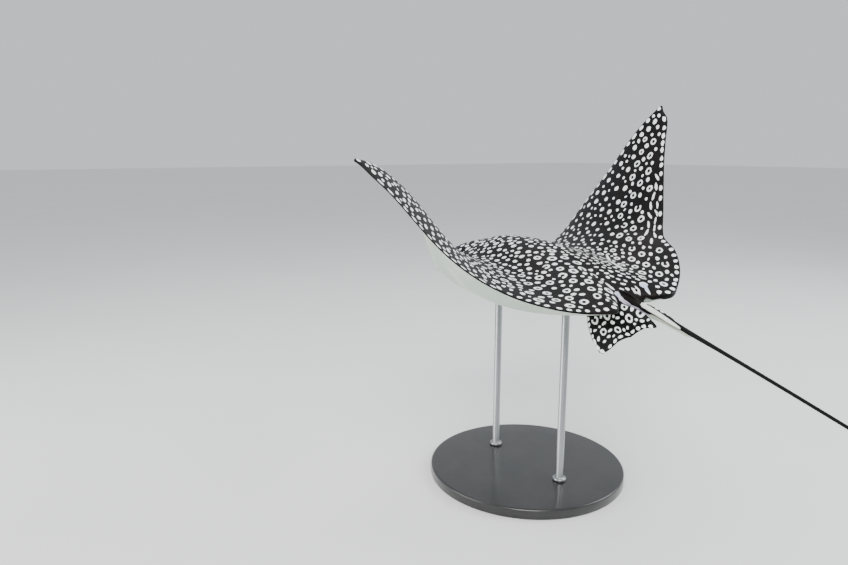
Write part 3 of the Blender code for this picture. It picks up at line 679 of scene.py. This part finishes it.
# Marks this animal has of its own: a stripe on the ridge ahead of the fin, a pale drop and a hooked
# mark beside it, a long scar on the right of the back, wavy bars end to end near the right margin, and
# a spot at each wing tip.
lay(-0.003, 0.5095, 0.0105, 0.0034, math.pi / 2)
lay(0.0285, 0.5385, 0.0098, 0.0056, -math.pi / 2 + 0.15, BROKEN, 0.36)
lay(0.0480, 0.5380, 0.0070, 0.0060, math.pi / 2)
lay(0.0445, 0.5490, 0.0085, 0.0030, math.pi / 2 + 0.30)
lay(0.0930, 0.4240, 0.0270, 0.0034, 2.45)
lay(0.0620, 0.4640, 0.0270, 0.0032, 1.80)
for share in np.linspace(0.0, 1.0, 8):
    out = 0.186 + 0.150 * share
    inset = 0.040 - 0.024 * share + 0.0022 * math.cos(11 * share)
    bend = 0.34 * math.sin(11 * share)
    lay(out, float(trailing_edge(out)) - inset, 0.0098, 0.0026, -0.52 + bend)
for share in np.linspace(0.0, 1.0, 5):
    out = 0.205 + 0.070 * share
    lay(out, float(trailing_edge(out)) - 0.0190 + 0.006 * share, 0.0090, 0.0019,
        -0.50 - 0.25 * math.cos(8 * share))
for side in (1, -1):
    lay(side * 0.4915, 0.3445, 0.0046, 0.0036, 0.3 * side)
own_marks = laid_count
for side in (1, -1):
    margin_row(side, leading_edge, 0.0078, 0.0215, 0.0064, 0.0050, 0.100, 0.492)
    margin_row(side, trailing_edge, 0.0056, 0.0152, 0.0044, 0.0038, 0.024, 0.213)
    margin_row(side, trailing_edge, 0.0058, 0.0190, 0.0064, 0.0034, 0.218, 0.490)
places = np.stack([rng.uniform(0.010, 0.056, 1800), rng.uniform(0.380, 0.530, 1800)], axis=-1)
size = rng.uniform(0.85, 1.2, len(places))
throw(places, 0.0041 * size, 0.0020 * size, rng.normal(1.15, 0.2, len(places)), 0.0031, 0.0031)
places = over_disc(9000)
out = abs(places[:, 0])
ring_from = np.interp(out, (0.0, 0.10, 0.20, 0.30, 0.39, 0.42), (0.58, 0.60, 0.65, 0.62, 0.46, 0.50))
among = chord_share(*places.T) > ring_from + rng.uniform(-0.03, 0.08, len(out))
among &= (out < 0.425) & (places[:, 0] > -0.20)
places, out = places[among], out[among]
trunk = np.exp(-((out / 0.11) ** 2)) * smooth(0.34, 0.44, places[:, 1])
size = rng.uniform(0.86, 1.10, len(out)) * (1 + 0.06 * trunk) * (1 - 0.10 * smooth(0.34, 0.42, out))
broken = rng.random(len(out)) < 0.08 + 0.25 * trunk
turn = np.where(broken, rng.uniform(-1.2, 1.2, len(out)), 0.0)
throw(places, 0.0081 * size, 0.0070 * size, grain(*places.T) + turn, 0.0046, 0.0108 - 0.0036 * trunk,
      np.where(broken, BROKEN, RING), rng.uniform(0.42, 0.54, len(out)))
along, across = (steps.ravel()[:, None] for steps in np.mgrid[-30:31, -20:21])
places = np.array([-0.33, 0.29]) + along * (0.0174, 0.0063) + across * (0.0223, -0.0249)
places = places + rng.uniform(-0.0030, 0.0030, places.shape)
behind_front = places[:, 1] - leading_edge(places[:, 0])
inside = np.minimum(behind_front, trailing_edge(places[:, 0]) - places[:, 1]) > 0.012
places = places[inside & (places[:, 0] < -0.175) & (places[:, 0] > -0.485)]
reach = np.interp(-places[:, 0], (0.175, 0.22, 0.36, 0.42, 0.49), (0.0072, 0.0092, 0.0092, 0.0074, 0.0058))
size = rng.uniform(0.85, 1.10, len(places))
throw(places, reach * size, 0.0040 * size, grain(*places.T), 0.0034, 0.0048)
places = over_disc(9000)
out = abs(places[:, 0])
spare = np.interp(out, (0.0, 0.09, 0.18, 0.33, 0.42, 0.50), (0.0050, 0.0064, 0.0132, 0.0132, 0.0072, 0.0042))
spare = spare * (1 - 0.4 * smooth(0.47, 0.52, places[:, 1]))
spare = np.where(places[:, 0] < LEFT_LATTICE, 0.0062, spare)
size = rng.uniform(0.88, 1.10, len(out)) * np.interp(out, (0.0, 0.12, 0.30), (0.84, 0.96, 1.06))
behind = smooth(0.55, 0.80, chord_share(*places.T))
throw(places, (0.0060 - 0.0010 * behind) * size, (0.0050 - 0.0015 * behind) * size, grain(*places.T),
      spare, 0.0048)
places = over_disc(9000)
out = abs(places[:, 0])
size = rng.uniform(0.85, 1.15, len(out))
spare = np.interp(out, (0.0, 0.12, 0.20, 0.34, 0.44), (0.0046, 0.0050, 0.0080, 0.0080, 0.0046))
spare = np.where(places[:, 0] < LEFT_LATTICE, 0.0050, spare)
throw(places, 0.0045 * size, 0.0032 * size, grain(*places.T), spare, 0.0044)
places = over_disc(9000)
size = rng.uniform(0.80, 1.15, len(places))
spare = np.interp(abs(places[:, 0]), (0.0, 0.12, 0.20, 0.34, 0.44), (0.0038, 0.0042, 0.0068, 0.0068, 0.0042))
throw(places, 0.0035 * size, 0.0026 * size, grain(*places.T) + rng.normal(0, 0.5, len(places)), spare, 0.0038)


def over_head(tries):
    """Random places over the top and sides of the head, sparse on the snout."""
    across, back = rng.uniform(-0.115, 0.115, tries), rng.uniform(0.035, 0.165, tries)
    edge = np.interp(back, (0.03, 0.06, 0.12, 0.17), (0.030, 0.060, 0.105, 0.115))
    clear = (abs(across) < edge) & (back < np.maximum(leading_edge(across) + 0.006, 0.13))
    eye = np.hypot(back - EYE_AT[1], abs(across) - 0.078) < 0.017
    junction = (abs(across) > 0.062) & (back > 0.108)
    return np.stack([across, back], axis=-1)[clear & ~eye & ~junction]


places = over_head(1500)
size = rng.uniform(0.8, 1.15, len(places))
throw(places, 0.0028 * size, 0.0021 * size, rng.uniform(0, math.pi, len(places)), 0.0095, 0.0060)


def over_fin(tries):
    """Random places on the pelvic fins' own plan."""
    out, back = rng.uniform(FIN_PLAN_ROOT, 0.105, tries), rng.uniform(0.46, 0.61, tries)
    share = (out - FIN_PLAN_ROOT) / PELVIC_SPAN
    clear = (back > fin_front(share) + 0.008) & (back < fin_rear(share) - 0.007) & (share < 0.86)
    side = rng.choice([-1.0, 1.0], tries)
    return np.stack([side * out, back + FIN_PLAN], axis=-1)[clear]


for side in (1, -1):
    share = np.linspace(0.10, 1.0, 80)
    outline = np.concatenate([np.stack([share, fin_front(share) + 0.0050], -1),
                              np.stack([share[::-1], fin_rear(share[::-1]) - 0.0046], -1)])
    outline[:, 0] = np.minimum(outline[:, 0], 0.955)
    path = np.stack([side * (FIN_PLAN_ROOT + outline[:, 0] * PELVIC_SPAN), outline[:, 1] + FIN_PLAN], -1)
    run = np.concatenate([[0.0], np.cumsum(np.linalg.norm(np.diff(path, axis=0), axis=1))])
    at = np.searchsorted(run, np.arange(0.004, run[-1] - 0.004, 0.0118)).clip(1, len(path) - 2)
    ahead = path[at + 1] - path[at - 1]
    at_tip = abs(path[at, 0]) > FIN_PLAN_ROOT + 0.84 * PELVIC_SPAN
    throw(path[at], np.where(at_tip, 0.0062, 0.0040), 0.0024, np.arctan2(ahead[:, 1], ahead[:, 0]),
          np.where(at_tip, -0.002, 0.0018), 0.0018)
places = over_fin(2500)
size = rng.uniform(0.88, 1.08, len(places))
throw(places, 0.0078 * size, 0.0061 * size, np.sign(places[:, 0]) * rng.uniform(0.7, 1.5, len(places)),
      0.0030, 0.0082, np.where(rng.random(len(places)) < 0.10, BROKEN, RING),
      rng.uniform(0.42, 0.54, len(places)))
for tries, long, short in ((2500, 0.0040, 0.0027), (2500, 0.0029, 0.0022)):
    places = over_fin(tries)
    size = rng.uniform(0.85, 1.15, len(places))
    throw(places, long * size, short * size, rng.uniform(0, math.pi, len(places)), 0.0030, 0.0030)
lay(-0.0108, 0.5320, 0.0056, 0.0038, math.pi / 2, RING, 0.45)
marks = laid[:laid_count]


def nearest_mark(places, chosen):
    """Index, among the chosen marks, of the one whose edge is nearest to each place."""
    best = np.zeros(len(places), int)
    for start in range(0, len(places), 1500):
        block = places[start:start + 1500]
        step_a = block[:, :1] - chosen[None, :, 0]
        step_b = block[:, 1:] - chosen[None, :, 1]
        along = (step_a * np.cos(chosen[:, 4]) + step_b * np.sin(chosen[:, 4])) / chosen[:, 2]
        across = (step_b * np.cos(chosen[:, 4]) - step_a * np.sin(chosen[:, 4])) / chosen[:, 3]
        share = np.hypot(along, across) + 1e-6
        best[start:start + 1500] = np.argmin(np.hypot(step_a, step_b) * (1 - 1 / share), axis=1)
    return best


def set_layer(mesh, name, kind, domain, values):
    """A named layer of the mesh, filled from an array: numbers or vectors, by point, corner or face."""
    layer = mesh.attributes.new(name, kind, domain)
    values = np.ascontiguousarray(values, np.float32).ravel()
    layer.data.foreach_set("value" if kind == "FLOAT" else "vector", values)


DROP_END = 3    # the pale drop's lower end, laid fourth; it overlaps the upper, so it joins the small
LONG_MARK = 0.0043
large = marks[:, 2] > LONG_MARK
large[:own_marks] = True
large[DROP_END] = False
for layer_name, chosen in (("large", marks[large]), ("small", marks[~large])):
    near = chosen[nearest_mark(face_plan, chosen)]
    stretch = near[:, 2] / near[:, 3] * np.where(near[:, 5] == BROKEN, -1.0, 1.0)
    hollow_share = np.where(near[:, 5] > 0, near[:, 6], -1.0)
    long = near[:, 2] * DISC_WIDTH
    place = np.stack([near[:, 0] * DISC_WIDTH, near[:, 1] * DISC_WIDTH, stretch], -1)
    axis = np.stack([np.cos(near[:, 4]) / long, np.sin(near[:, 4]) / long, hollow_share], -1)
    set_layer(skin_mesh, layer_name + "_place", "FLOAT_VECTOR", "FACE", place)
    set_layer(skin_mesh, layer_name + "_axis", "FLOAT_VECTOR", "FACE", axis)

set_layer(skin_mesh, "plan", "FLOAT_VECTOR", "CORNER", plan)
set_layer(skin_mesh, "bare", "FLOAT", "POINT", bare)
# The hollow layer says where the hide is painted dark as shade, in the head's openings and sockets.
set_layer(skin_mesh, "hollow", "FLOAT", "POINT", hollow)

# Lavender tint: white marks take it on the dorsal fin and the pale drop; where it is stronger the dark hide
# takes it too, in a band that winds down the tail's left flank: a painted sheen, the lit keel of that flank.
a, b, c = flat.T
FIN_TINT, DROP_TINT = 0.4, 0.52
fin_tint = FIN_TINT * points_of(of_form("dorsal"))
drop_tint = (c > 0) * np.exp(-(((a - 0.0465) / 0.010) ** 2) - ((b - 0.543) / 0.016) ** 2)
up_share, out_share = c / through(b, TAIL_GIRTH_AT, TAIL_HEIGHT), a / through(b, TAIL_GIRTH_AT, TAIL_WIDTH)
around = np.degrees(np.arctan2(up_share, out_share))
around = np.where(around < -90, around + 360, around)
flank_sheen_at = np.interp(b, (0.520, 0.540, 0.560, 0.590), (104.0, 156.0, 190.0, 216.0))
flank_sheen = smooth(0.517, 0.526, b) * (1 - smooth(0.600, 0.612, b))
flank_sheen = flank_sheen * (1 - smooth(20.0, 32.0, abs(around - flank_sheen_at)))
pale = np.maximum.reduce([fin_tint, DROP_TINT * drop_tint, flank_sheen * points_of(of_form("tail"))])
set_layer(skin_mesh, "pale", "FLOAT", "POINT", pale)

# ---------------------------------------------------------------- the hide: unwrap and material
# Painted resin under a satin lacquer: charcoal back, white marks with soft, slightly uneven edges,
# a pale belly, a black tail, and a fine grain. The unwrap lays the back, belly, head, tail
# and fins side by side.
UNWRAP_SCALE = 0.56
upper = plan[:, 2] > 0.0075
u, v = plan[:, 0] / DISC_WIDTH, plan[:, 1] / DISC_WIDTH
size = DISC_WIDTH * UNWRAP_SCALE
unwrap = np.stack([0.5 + u * size, (v - 0.115) * size + np.where(upper, 0.0, 0.395)], axis=-1)
below_shift = np.where(upper, 0.0, 0.22)


def lay_island(across, up, *names):
    """Puts the corners of the named forms on a part of the unwrap of their own."""
    chosen = of_form(*names)[corner_face]
    unwrap[chosen] = np.stack([across, up], axis=-1)[chosen]


lay_island(0.14 + u * size + below_shift, 0.79 + v * size, "head")
far = face_mean(plan)[corner_face, 1] / DISC_WIDTH > 1.26
flank = flat[corner_vertex, 0] * size * 0.5 * np.where(upper, 1, -1)
lay_island((v - np.where(far, 1.20, 0.40)) * size * 0.93 + 0.01, 0.975 + flank + np.where(far, 0.014, 0.0),
           "tail")
lay_island(0.60 + u * size + below_shift + 0.06, 0.79 + (v - FIN_PLAN - 0.46) * size,
           "pelvic_left", "pelvic_right")
flank = flat[corner_vertex, 2] * size * np.where(facing[corner_face, 0] > 0, 1, -1)
lay_island(0.5 + (v - 0.51) * size * 0.8, 0.92 + flank, "dorsal")
bake_map = skin_mesh.uv_layers.new(name="OFBake")
bake_map.data.foreach_set("uv", np.ascontiguousarray(np.clip(unwrap, 0.002, 0.998), np.float32).ravel())

posed = pose(flat[:, 0].copy(), flat[:, 1].copy(), flat[:, 2].copy())
skin_mesh.vertices.foreach_set("co", posed.ravel())
skin_mesh.materials.clear()
skin_mesh.polygons.foreach_set("material_index", np.zeros(len(skin_mesh.polygons), np.int32))
skin_mesh.polygons.foreach_set("use_smooth", np.ones(len(skin_mesh.polygons), bool))
skin_mesh.update()
for name in FORMS:
    bpy.data.materials.remove(bpy.data.materials[name])


def srgb(red, green, blue):
    """Linear colour of an 8-bit sRGB one."""
    parts = np.array([red, green, blue]) / 255.0
    return (*np.where(parts <= 0.04045, parts / 12.92, ((parts + 0.055) / 1.055) ** 2.4), 1.0)


def new_material(name):
    """A material, its node tree and its Principled shader.  The helpers below add to the latest tree."""
    material = bpy.data.materials.new(name)
    material.use_nodes = True
    return material, material.node_tree, material.node_tree.nodes["Principled BSDF"]


def node(kind, settings=None, **inputs):
    """A node, its settings and its inputs; an input is a number, a colour or another socket."""
    made = tree.nodes.new(kind)
    for name, value in (settings or {}).items():
        setattr(made, name, value)
    for name, value in inputs.items():
        socket = made.inputs[int(name[1:])] if name[0] == "_" else made.inputs[name.replace("_", " ")]
        if isinstance(value, bpy.types.NodeSocket):
            tree.links.new(value, socket)
        else:
            socket.default_value = value
    return made


def maths(operation, first, second=0.0):
    """One sum on two numbers or sockets."""
    return node("ShaderNodeMath", {"operation": operation}, _0=first, _1=second).outputs[0]


def times(first, second):
    """Product of two numbers or sockets."""
    return maths("MULTIPLY", first, second)


def vector(operation, first, second, output=0):
    """One sum on two vectors."""
    return node("ShaderNodeVectorMath", {"operation": operation}, _0=first, _1=second).outputs[output]


def split(socket):
    """The three parts of a vector."""
    return node("ShaderNodeSeparateXYZ", None, _0=socket).outputs


def layer_value(name, output="Fac"):
    """What a layer of the mesh holds."""
    return node("ShaderNodeAttribute", {"attribute_name": name}).outputs[output]


def own_place():
    """Place on the object, in metres."""
    return node("ShaderNodeTexCoord").outputs["Object"]


def ramp(value, low, high, start=0.0, stop=1.0):
    """Smooth step of a value from low to high."""
    made = node("ShaderNodeMapRange", {"interpolation_type": "SMOOTHSTEP"}, _0=value, _1=low, _2=high,
                _3=start, _4=stop)
    return made.outputs[0]


def mixed(share, first, second):
    """Blend of two colours."""
    return node("ShaderNodeMix", {"data_type": "RGBA"}, _0=share, _6=first, _7=second).outputs[2]


def noise(where, scale, detail=2.0, roughness=0.5, output="Fac"):
    """Cloudy noise, scale to the metre."""
    made = node("ShaderNodeTexNoise", None, Vector=where, Scale=scale, Detail=detail, Roughness=roughness)
    return made.outputs[output]


def surface(colour, height, strength, distance):
    """Colours the shader and roughens it with a bump."""
    tree.links.new(colour, shader.inputs["Base Color"])
    bump = node("ShaderNodeBump", None, Strength=strength, Distance=distance, Height=height)
    tree.links.new(bump.outputs[0], shader.inputs["Normal"])


def gloss(**values):
    """Sets the shader's own sockets."""
    for name, value in values.items():
        shader.inputs[name.replace("_", " ")].default_value = value


skin_material, tree, shader = new_material("spotted_skin")
place = own_place()
plan_value = layer_value("plan", "Vector")
parts = split(plan_value)
tone, back = parts[2], parts[1]
wobble = vector("SUBTRACT", noise(place, 95.0, 1.0, output="Color"), (0.5, 0.5, 0.5))
wobble = vector("MULTIPLY", wobble, (0.0046, 0.0046, 0.0))
moved = vector("ADD", plan_value, wobble)


def white_marks(name):
    """White where a point is inside its face's mark: the ellipse's own distance is below one, above the
    hollow share, and not in the gap that a broken ring leaves on one side."""
    at, axis = layer_value(name + "_place", "Vector"), layer_value(name + "_axis", "Vector")
    step = vector("MULTIPLY", vector("SUBTRACT", moved, at), (1.0, 1.0, 0.0))
    along = vector("DOT_PRODUCT", axis, step, "Value")
    cross = vector("CROSS_PRODUCT", axis, step)
    stretch, hollow_share = split(at)[2], split(axis)[2]
    across = times(split(cross)[2], maths("ABSOLUTE", stretch))
    away = maths("SQRT", maths("ADD", times(along, along), times(across, across)))
    outer = ramp(away, 0.90, 1.10, 1.0, 0.0)
    inner = ramp(maths("SUBTRACT", away, hollow_share), -0.09, 0.09)
    side = maths("SUBTRACT", along, maths("ABSOLUTE", across))
    gap = times(ramp(side, 0.05, 0.30), maths("LESS_THAN", stretch, 0.0))
    mark = times(outer, inner)
    return times(mark, maths("SUBTRACT", 1.0, gap))


white = maths("MAXIMUM", white_marks("large"), white_marks("small"))
white = times(white, ramp(tone, 0.0065, 0.0085))
white = times(white, ramp(layer_value("bare"), 0.10, 0.60, 1.0, 0.0))
mottle = noise(place, 7.0, 3.0)
speckle = noise(place, 420.0)
dark = mixed(ramp(mottle, 0.35, 0.65), srgb(10, 9, 11), srgb(18, 14, 13))
# Towards the head the dark hide is tinted blue: painted light, the blue cast of light through water, not the
# hide's own colour.
dark = mixed(ramp(back, 0.18, 0.60), srgb(12, 14, 20), dark)
dark = mixed(ramp(back, 0.88, 0.94), dark, srgb(6, 6, 7))
chalk = mixed(ramp(speckle, 0.3, 0.7), srgb(240, 242, 243), srgb(252, 252, 250))
pale_mark = layer_value("pale")
chalk = mixed(ramp(pale_mark, 0.20, 0.45), chalk, srgb(198, 210, 230))
# Where the pale layer is strongest, on the tail's left flank, the dark hide turns lavender: a painted sheen
# on the lit keel of the tail.
dark = mixed(ramp(pale_mark, 0.60, 0.90), dark, srgb(200, 196, 212))
top_colour = mixed(white, dark, chalk)
# The belly is white on the animal; these darker grey-green tones are partly painted shade, for the underside
# turned from the light, with a green cast of light through water.
belly = mixed(ramp(mottle, 0.3, 0.7), srgb(186, 199, 186), srgb(202, 211, 199))
ragged = times(noise(place, 60.0), 0.004)
ragged = maths("ADD", tone, maths("SUBTRACT", ragged, 0.002))
colour = mixed(ramp(ragged, -0.0012, 0.0012), belly, top_colour)
# Mouth, nostrils, gill slits, spiracles and eye sockets darken towards a dull pinkish brown: painted shade in
# the hollows, tinted with the pink of the flesh inside.
colour = mixed(times(layer_value("hollow"), 0.85), colour, srgb(38, 30, 32))
pores, folds = noise(place, 900.0, 3.0, 0.6), noise(place, 90.0, 3.0, 0.5)
surface(colour, maths("ADD", times(pores, 0.00016), times(folds, 0.0008)), 0.6, 1.0)
gloss(Roughness=0.44, Specular_IOR_Level=0.10, Coat_Weight=0.015, Coat_Roughness=0.25)
skin_mesh.materials.append(skin_material)

skin = put("ray_skin", skin_mesh)
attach(skin, "root")
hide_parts("head", "trunk", "wing_left_inner", "wing_left_outer", "wing_right_inner",
            "wing_right_outer", "pelvic_fin_left", "pelvic_fin_right", "dorsal_fin", "tail_base",
            "tail_front", "tail_middle", "tail_rear", "tail_tip")

# ---------------------------------------------------------------- eyes
# Glass eyes set in the lids: a near-black ball with a dark brown iris and a round pupil, under a clear
# glossy coat.
EYE_RINGS, EYE_POINTS = 40, 64


def eye_ball(side):
    """A ball round the eye's place in the flat frame, its pole turned outwards: rings by the sine and
    cosine of the angle from the pole."""
    turn = np.linspace(0.0, math.pi, EYE_RINGS)[:, None]
    round_it = np.linspace(0.0, 2 * math.pi, EYE_POINTS, endpoint=False)
    out = np.cos(turn) * np.ones(EYE_POINTS) * side
    a = EYE_AT[0] * side + EYE_RADIUS * out
    b = EYE_AT[1] + EYE_RADIUS * np.sin(turn) * np.cos(round_it)
    c = EYE_AT[2] + EYE_RADIUS * np.sin(turn) * np.sin(round_it)
    return closed_mesh("eye", np.stack(np.broadcast_arrays(a, b, c), axis=-1))


eye_material, tree, shader = new_material("glass_eye")
gaze = layer_value("gaze", "Vector")
parts = split(gaze)
from_pole = maths("SQRT", maths("ADD", times(parts[1], parts[1]), times(parts[2], parts[2])))
rays = noise(gaze, 9.0, 4.0, 0.6)
iris = mixed(ramp(rays, 0.35, 0.65), srgb(30, 22, 16), srgb(70, 54, 34))
iris = mixed(ramp(from_pole, 0.58, 0.70), iris, srgb(8, 7, 7))
pupil = ramp(from_pole, 0.38, 0.42)
tree.links.new(mixed(pupil, srgb(3, 3, 4), iris), shader.inputs["Base Color"])
gloss(Roughness=0.12, Specular_IOR_Level=0.25, Coat_Weight=0.45, Coat_Roughness=0.04)
for side, name in ((1, "eye_right"), (-1, "eye_left")):
    mesh = eye_ball(side)
    flat_eye = positions(mesh)
    gaze_vector = (flat_eye - EYE_AT * (side, 1, 1)) / EYE_RADIUS
    set_layer(mesh, "gaze", "FLOAT_VECTOR", "POINT", gaze_vector)
    mesh.vertices.foreach_set("co", pose(*flat_eye.T.copy()).ravel())
    mesh.polygons.foreach_set("use_smooth", np.ones(len(mesh.polygons), bool))
    mesh.materials.append(eye_material)
    mesh.update()
    eye = put(name + "_glass", mesh)
    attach(eye, "root")
    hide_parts(name)

# ---------------------------------------------------------------- stings
# Two barbed bone blades that lie back along the tail: flat, grooved down the middle, with fine
# teeth raked towards the root on both edges.  Each has its root, tip and half width.
STING_TILT = math.radians(50)
STING_TEETH = 46.0
STINGS = {"sting_upper": ((-0.0072, 0.581, 0.0086), (-0.0102, 0.663, 0.0050), 0.0048),
          "sting_lower": ((-0.0087, 0.600, -0.0020), (-0.0075, 0.679, -0.0022), 0.0034)}


def sting_mesh(root, tip, widest):
    """Rings along the blade: width falls as (1 - share)^0.34, the edge steps in behind each tooth, and
    the face is hollowed along its middle; the whole is tilted with its left edge down."""
    share = np.linspace(0.0, 1.0, 260)[:, None]
    centre = np.array(root) + (np.array(tip) - np.array(root)) * share[:, :, None]
    tooth = (share * STING_TEETH) % 1.0
    barb = 0.16 * (1.0 - tooth) ** 1.2 * smooth(0.12, 0.25, share) * (1 - smooth(0.94, 0.99, share))
    half = widest * np.clip(1.0 - share, 0.0, 1.0) ** 0.34 * smooth(-0.06, 0.05, share) + 0.0003
    across, up = ring_points(24, 1.0)
    wide = half * across * (0.86 + barb * abs(across) ** 3)
    deep = half * 0.5 * up * (1.0 - 0.22 * hump(across, 0.28))
    a = centre[..., 0] + wide * math.cos(STING_TILT) - deep * math.sin(STING_TILT)
    c = centre[..., 2] + wide * math.sin(STING_TILT) + deep * math.cos(STING_TILT)
    b = np.broadcast_to(centre[..., 1], a.shape)
    rings = np.stack([a, b, c], axis=-1)
    return closed_mesh("sting", pose(*rings.reshape(-1, 3).T.copy()).reshape(rings.shape))


# The lower blade is the same pale bone as the upper one; its darker grey-green colours are painted shade, as
# it lies in shadow.
for name, light, deep in (("sting_upper", srgb(236, 236, 232), srgb(206, 206, 200)),
                          ("sting_lower", srgb(176, 186, 168), srgb(140, 152, 136))):
    mesh = sting_mesh(*STINGS[name])
    mesh.polygons.foreach_set("use_smooth", np.ones(len(mesh.polygons), bool))
    bone, tree, shader = new_material(name + "_bone")
    streaks = node("ShaderNodeMapping", None, _0=own_place(), _3=(900.0, 60.0, 900.0)).outputs[0]
    streaks = noise(streaks, 1.0, 3.0)
    surface(mixed(ramp(streaks, 0.3, 0.7), light, deep), streaks, 0.4, 0.0004)
    gloss(Roughness=0.38)
    mesh.materials.append(bone)
    sting = put(name + "_blade", mesh)
    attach(sting, "root")
    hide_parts(name)

# ---------------------------------------------------------------- display stand
# A turned disc of black lacquered wood and two brushed steel rods with small collars at the foot.
BASE_RADIUS = 0.30
BASE_THICKNESS = 0.030
BASE_EDGE = 0.006
ROD_RADIUS = 0.011


def turned(name, profile, centre, count):
    """A solid of revolution about an upright line: profile gives radius and height from foot to top."""
    radius, height = (np.array(column)[:, None] for column in zip(*profile))
    round_it = np.linspace(0.0, 2 * math.pi, count, endpoint=False)
    x, y = centre[0] + radius * np.cos(round_it), centre[1] + radius * np.sin(round_it)
    rings = np.stack(np.broadcast_arrays(x, y, height), axis=-1)
    mesh = closed_mesh(name, rings)
    mesh.polygons.foreach_set("use_smooth", np.array([len(face.vertices) == 4 for face in mesh.polygons]))
    return put(name, mesh)


bevel = [(BASE_RADIUS - BASE_EDGE * (1 - math.sin(t)), BASE_THICKNESS - BASE_EDGE * (1 - math.cos(t)))
         for t in np.linspace(math.pi / 2, 0.0, 13)]
foot = [(BASE_RADIUS - 0.004, 0.0), (BASE_RADIUS - 0.001, 0.0008), (BASE_RADIUS, 0.003)]
profile = foot + bevel + [(r, BASE_THICKNESS) for r in (0.22, 0.12, 0.03)]
base = turned("stand_base_turned", profile, (0.0, 0.0), 160)
base_material, tree, shader = new_material("black_lacquer")
where = own_place()
figure, dust = noise(where, 14.0, 4.0, 0.6), noise(where, 700.0)
surface(mixed(ramp(figure, 0.3, 0.7), srgb(22, 22, 23), srgb(33, 32, 32)), dust, 0.15, 0.0003)
gloss(Roughness=0.32, Coat_Weight=0.35, Coat_Roughness=0.12)
base.data.materials.append(base_material)
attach(base, "root")
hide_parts("stand_base")

rod_material, tree, shader = new_material("brushed_steel")
brushed = node("ShaderNodeMapping", None, _0=own_place(), _3=(60.0, 60.0, 2600.0)).outputs[0]
brushed = noise(brushed, 1.0, 3.0)
surface(mixed(brushed, srgb(150, 152, 155), srgb(186, 188, 190)), brushed, 0.25, 0.0002)
gloss(Metallic=1.0, Roughness=0.34)
for name in ("stand_rod_front", "stand_rod_rear"):
    low, high = (np.array(corner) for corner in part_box(name))
    centre = (low + high) / 2
    foot, head = low[2], high[2]
    collar = [(0.0185, foot), (0.0200, foot + 0.0012), (0.0200, foot + 0.0088), (0.0188, foot + 0.0100),
              (ROD_RADIUS + 0.0006, foot + 0.0106), (ROD_RADIUS, foot + 0.0120)]
    top = [(ROD_RADIUS, head - 0.0015), (ROD_RADIUS - 0.0008, head - 0.0003), (ROD_RADIUS - 0.0020, head)]
    rod = turned(name + "_turned", collar + top, centre, 48)
    rod.data.materials.append(rod_material)
    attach(rod, "root")
    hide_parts(name)

# ---------------------------------------------------------------- room: floor, light and camera
# A pale floor and plain soft studio light; the camera stands to the left behind the animal.
FLOOR_HALF = 40
floor_mesh = bpy.data.meshes.new("floor")
corners = [(-FLOOR_HALF, -FLOOR_HALF, 0), (FLOOR_HALF, -FLOOR_HALF, 0), (FLOOR_HALF, FLOOR_HALF, 0),
           (-FLOOR_HALF, FLOOR_HALF, 0)]
floor_mesh.from_pydata(corners, [], [(0, 1, 2, 3)])
floor = put("floor", floor_mesh)
floor_material, tree, shader = new_material("pale_floor")
cloud = noise(own_place(), 1.6, 4.0, 0.6)
tree.links.new(mixed(cloud, srgb(226, 227, 226), srgb(236, 236, 234)), shader.inputs["Base Color"])
gloss(Roughness=0.75)
floor_mesh.materials.append(floor_material)

for name, place, target, size, power, tint in (
        ("key", (-2.6, -3.2, 4.0), (0.0, 0.0, 0.7), 2.6, 275.0, (1.0, 0.985, 0.96)),
        ("fill", (3.6, -1.6, 3.0), (0.0, 0.0, 0.7), 2.6, 130.0, (0.95, 0.975, 1.0)),
        ("top", (0.0, 0.8, 4.4), (0.0, 0.0, 0.8), 3.0, 80.0, (1.0, 1.0, 1.0)),
        ("low", (-3.2, 1.0, 0.7), (-0.3, 0.0, 0.6), 2.2, 70.0, (1.0, 1.0, 0.98))):
    light = bpy.data.lights.new(name, "AREA")
    light.size = size
    light.energy = power
    light.color = tint
    lamp = put(name, light)
    lamp.location = place
    aim = np.array(target) - np.array(place)
    tip = math.atan2(math.hypot(aim[0], aim[1]), -aim[2])
    lamp.rotation_euler = (tip, 0.0, math.atan2(aim[1], aim[0]) - math.pi / 2)
world = bpy.data.worlds.new("studio")
world.use_nodes = True
sky = world.node_tree.nodes["Background"].inputs
sky["Color"].default_value = (0.86, 0.90, 0.94, 1.0)
sky["Strength"].default_value = 0.86
bpy.context.scene.world = world

CAMERA_AT = (-1.3579, -1.5032, 0.9972)
CAMERA_TURN = -32.93
CAMERA_DOWN = 11.04
lens = bpy.data.cameras.new("camera")
lens.lens = 28.75
lens.sensor_width = 36.0
camera = put("camera", lens)
camera.location = CAMERA_AT
camera.rotation_euler = (math.radians(90.0 - CAMERA_DOWN), 0.0, math.radians(CAMERA_TURN))
bpy.context.scene.camera = camera
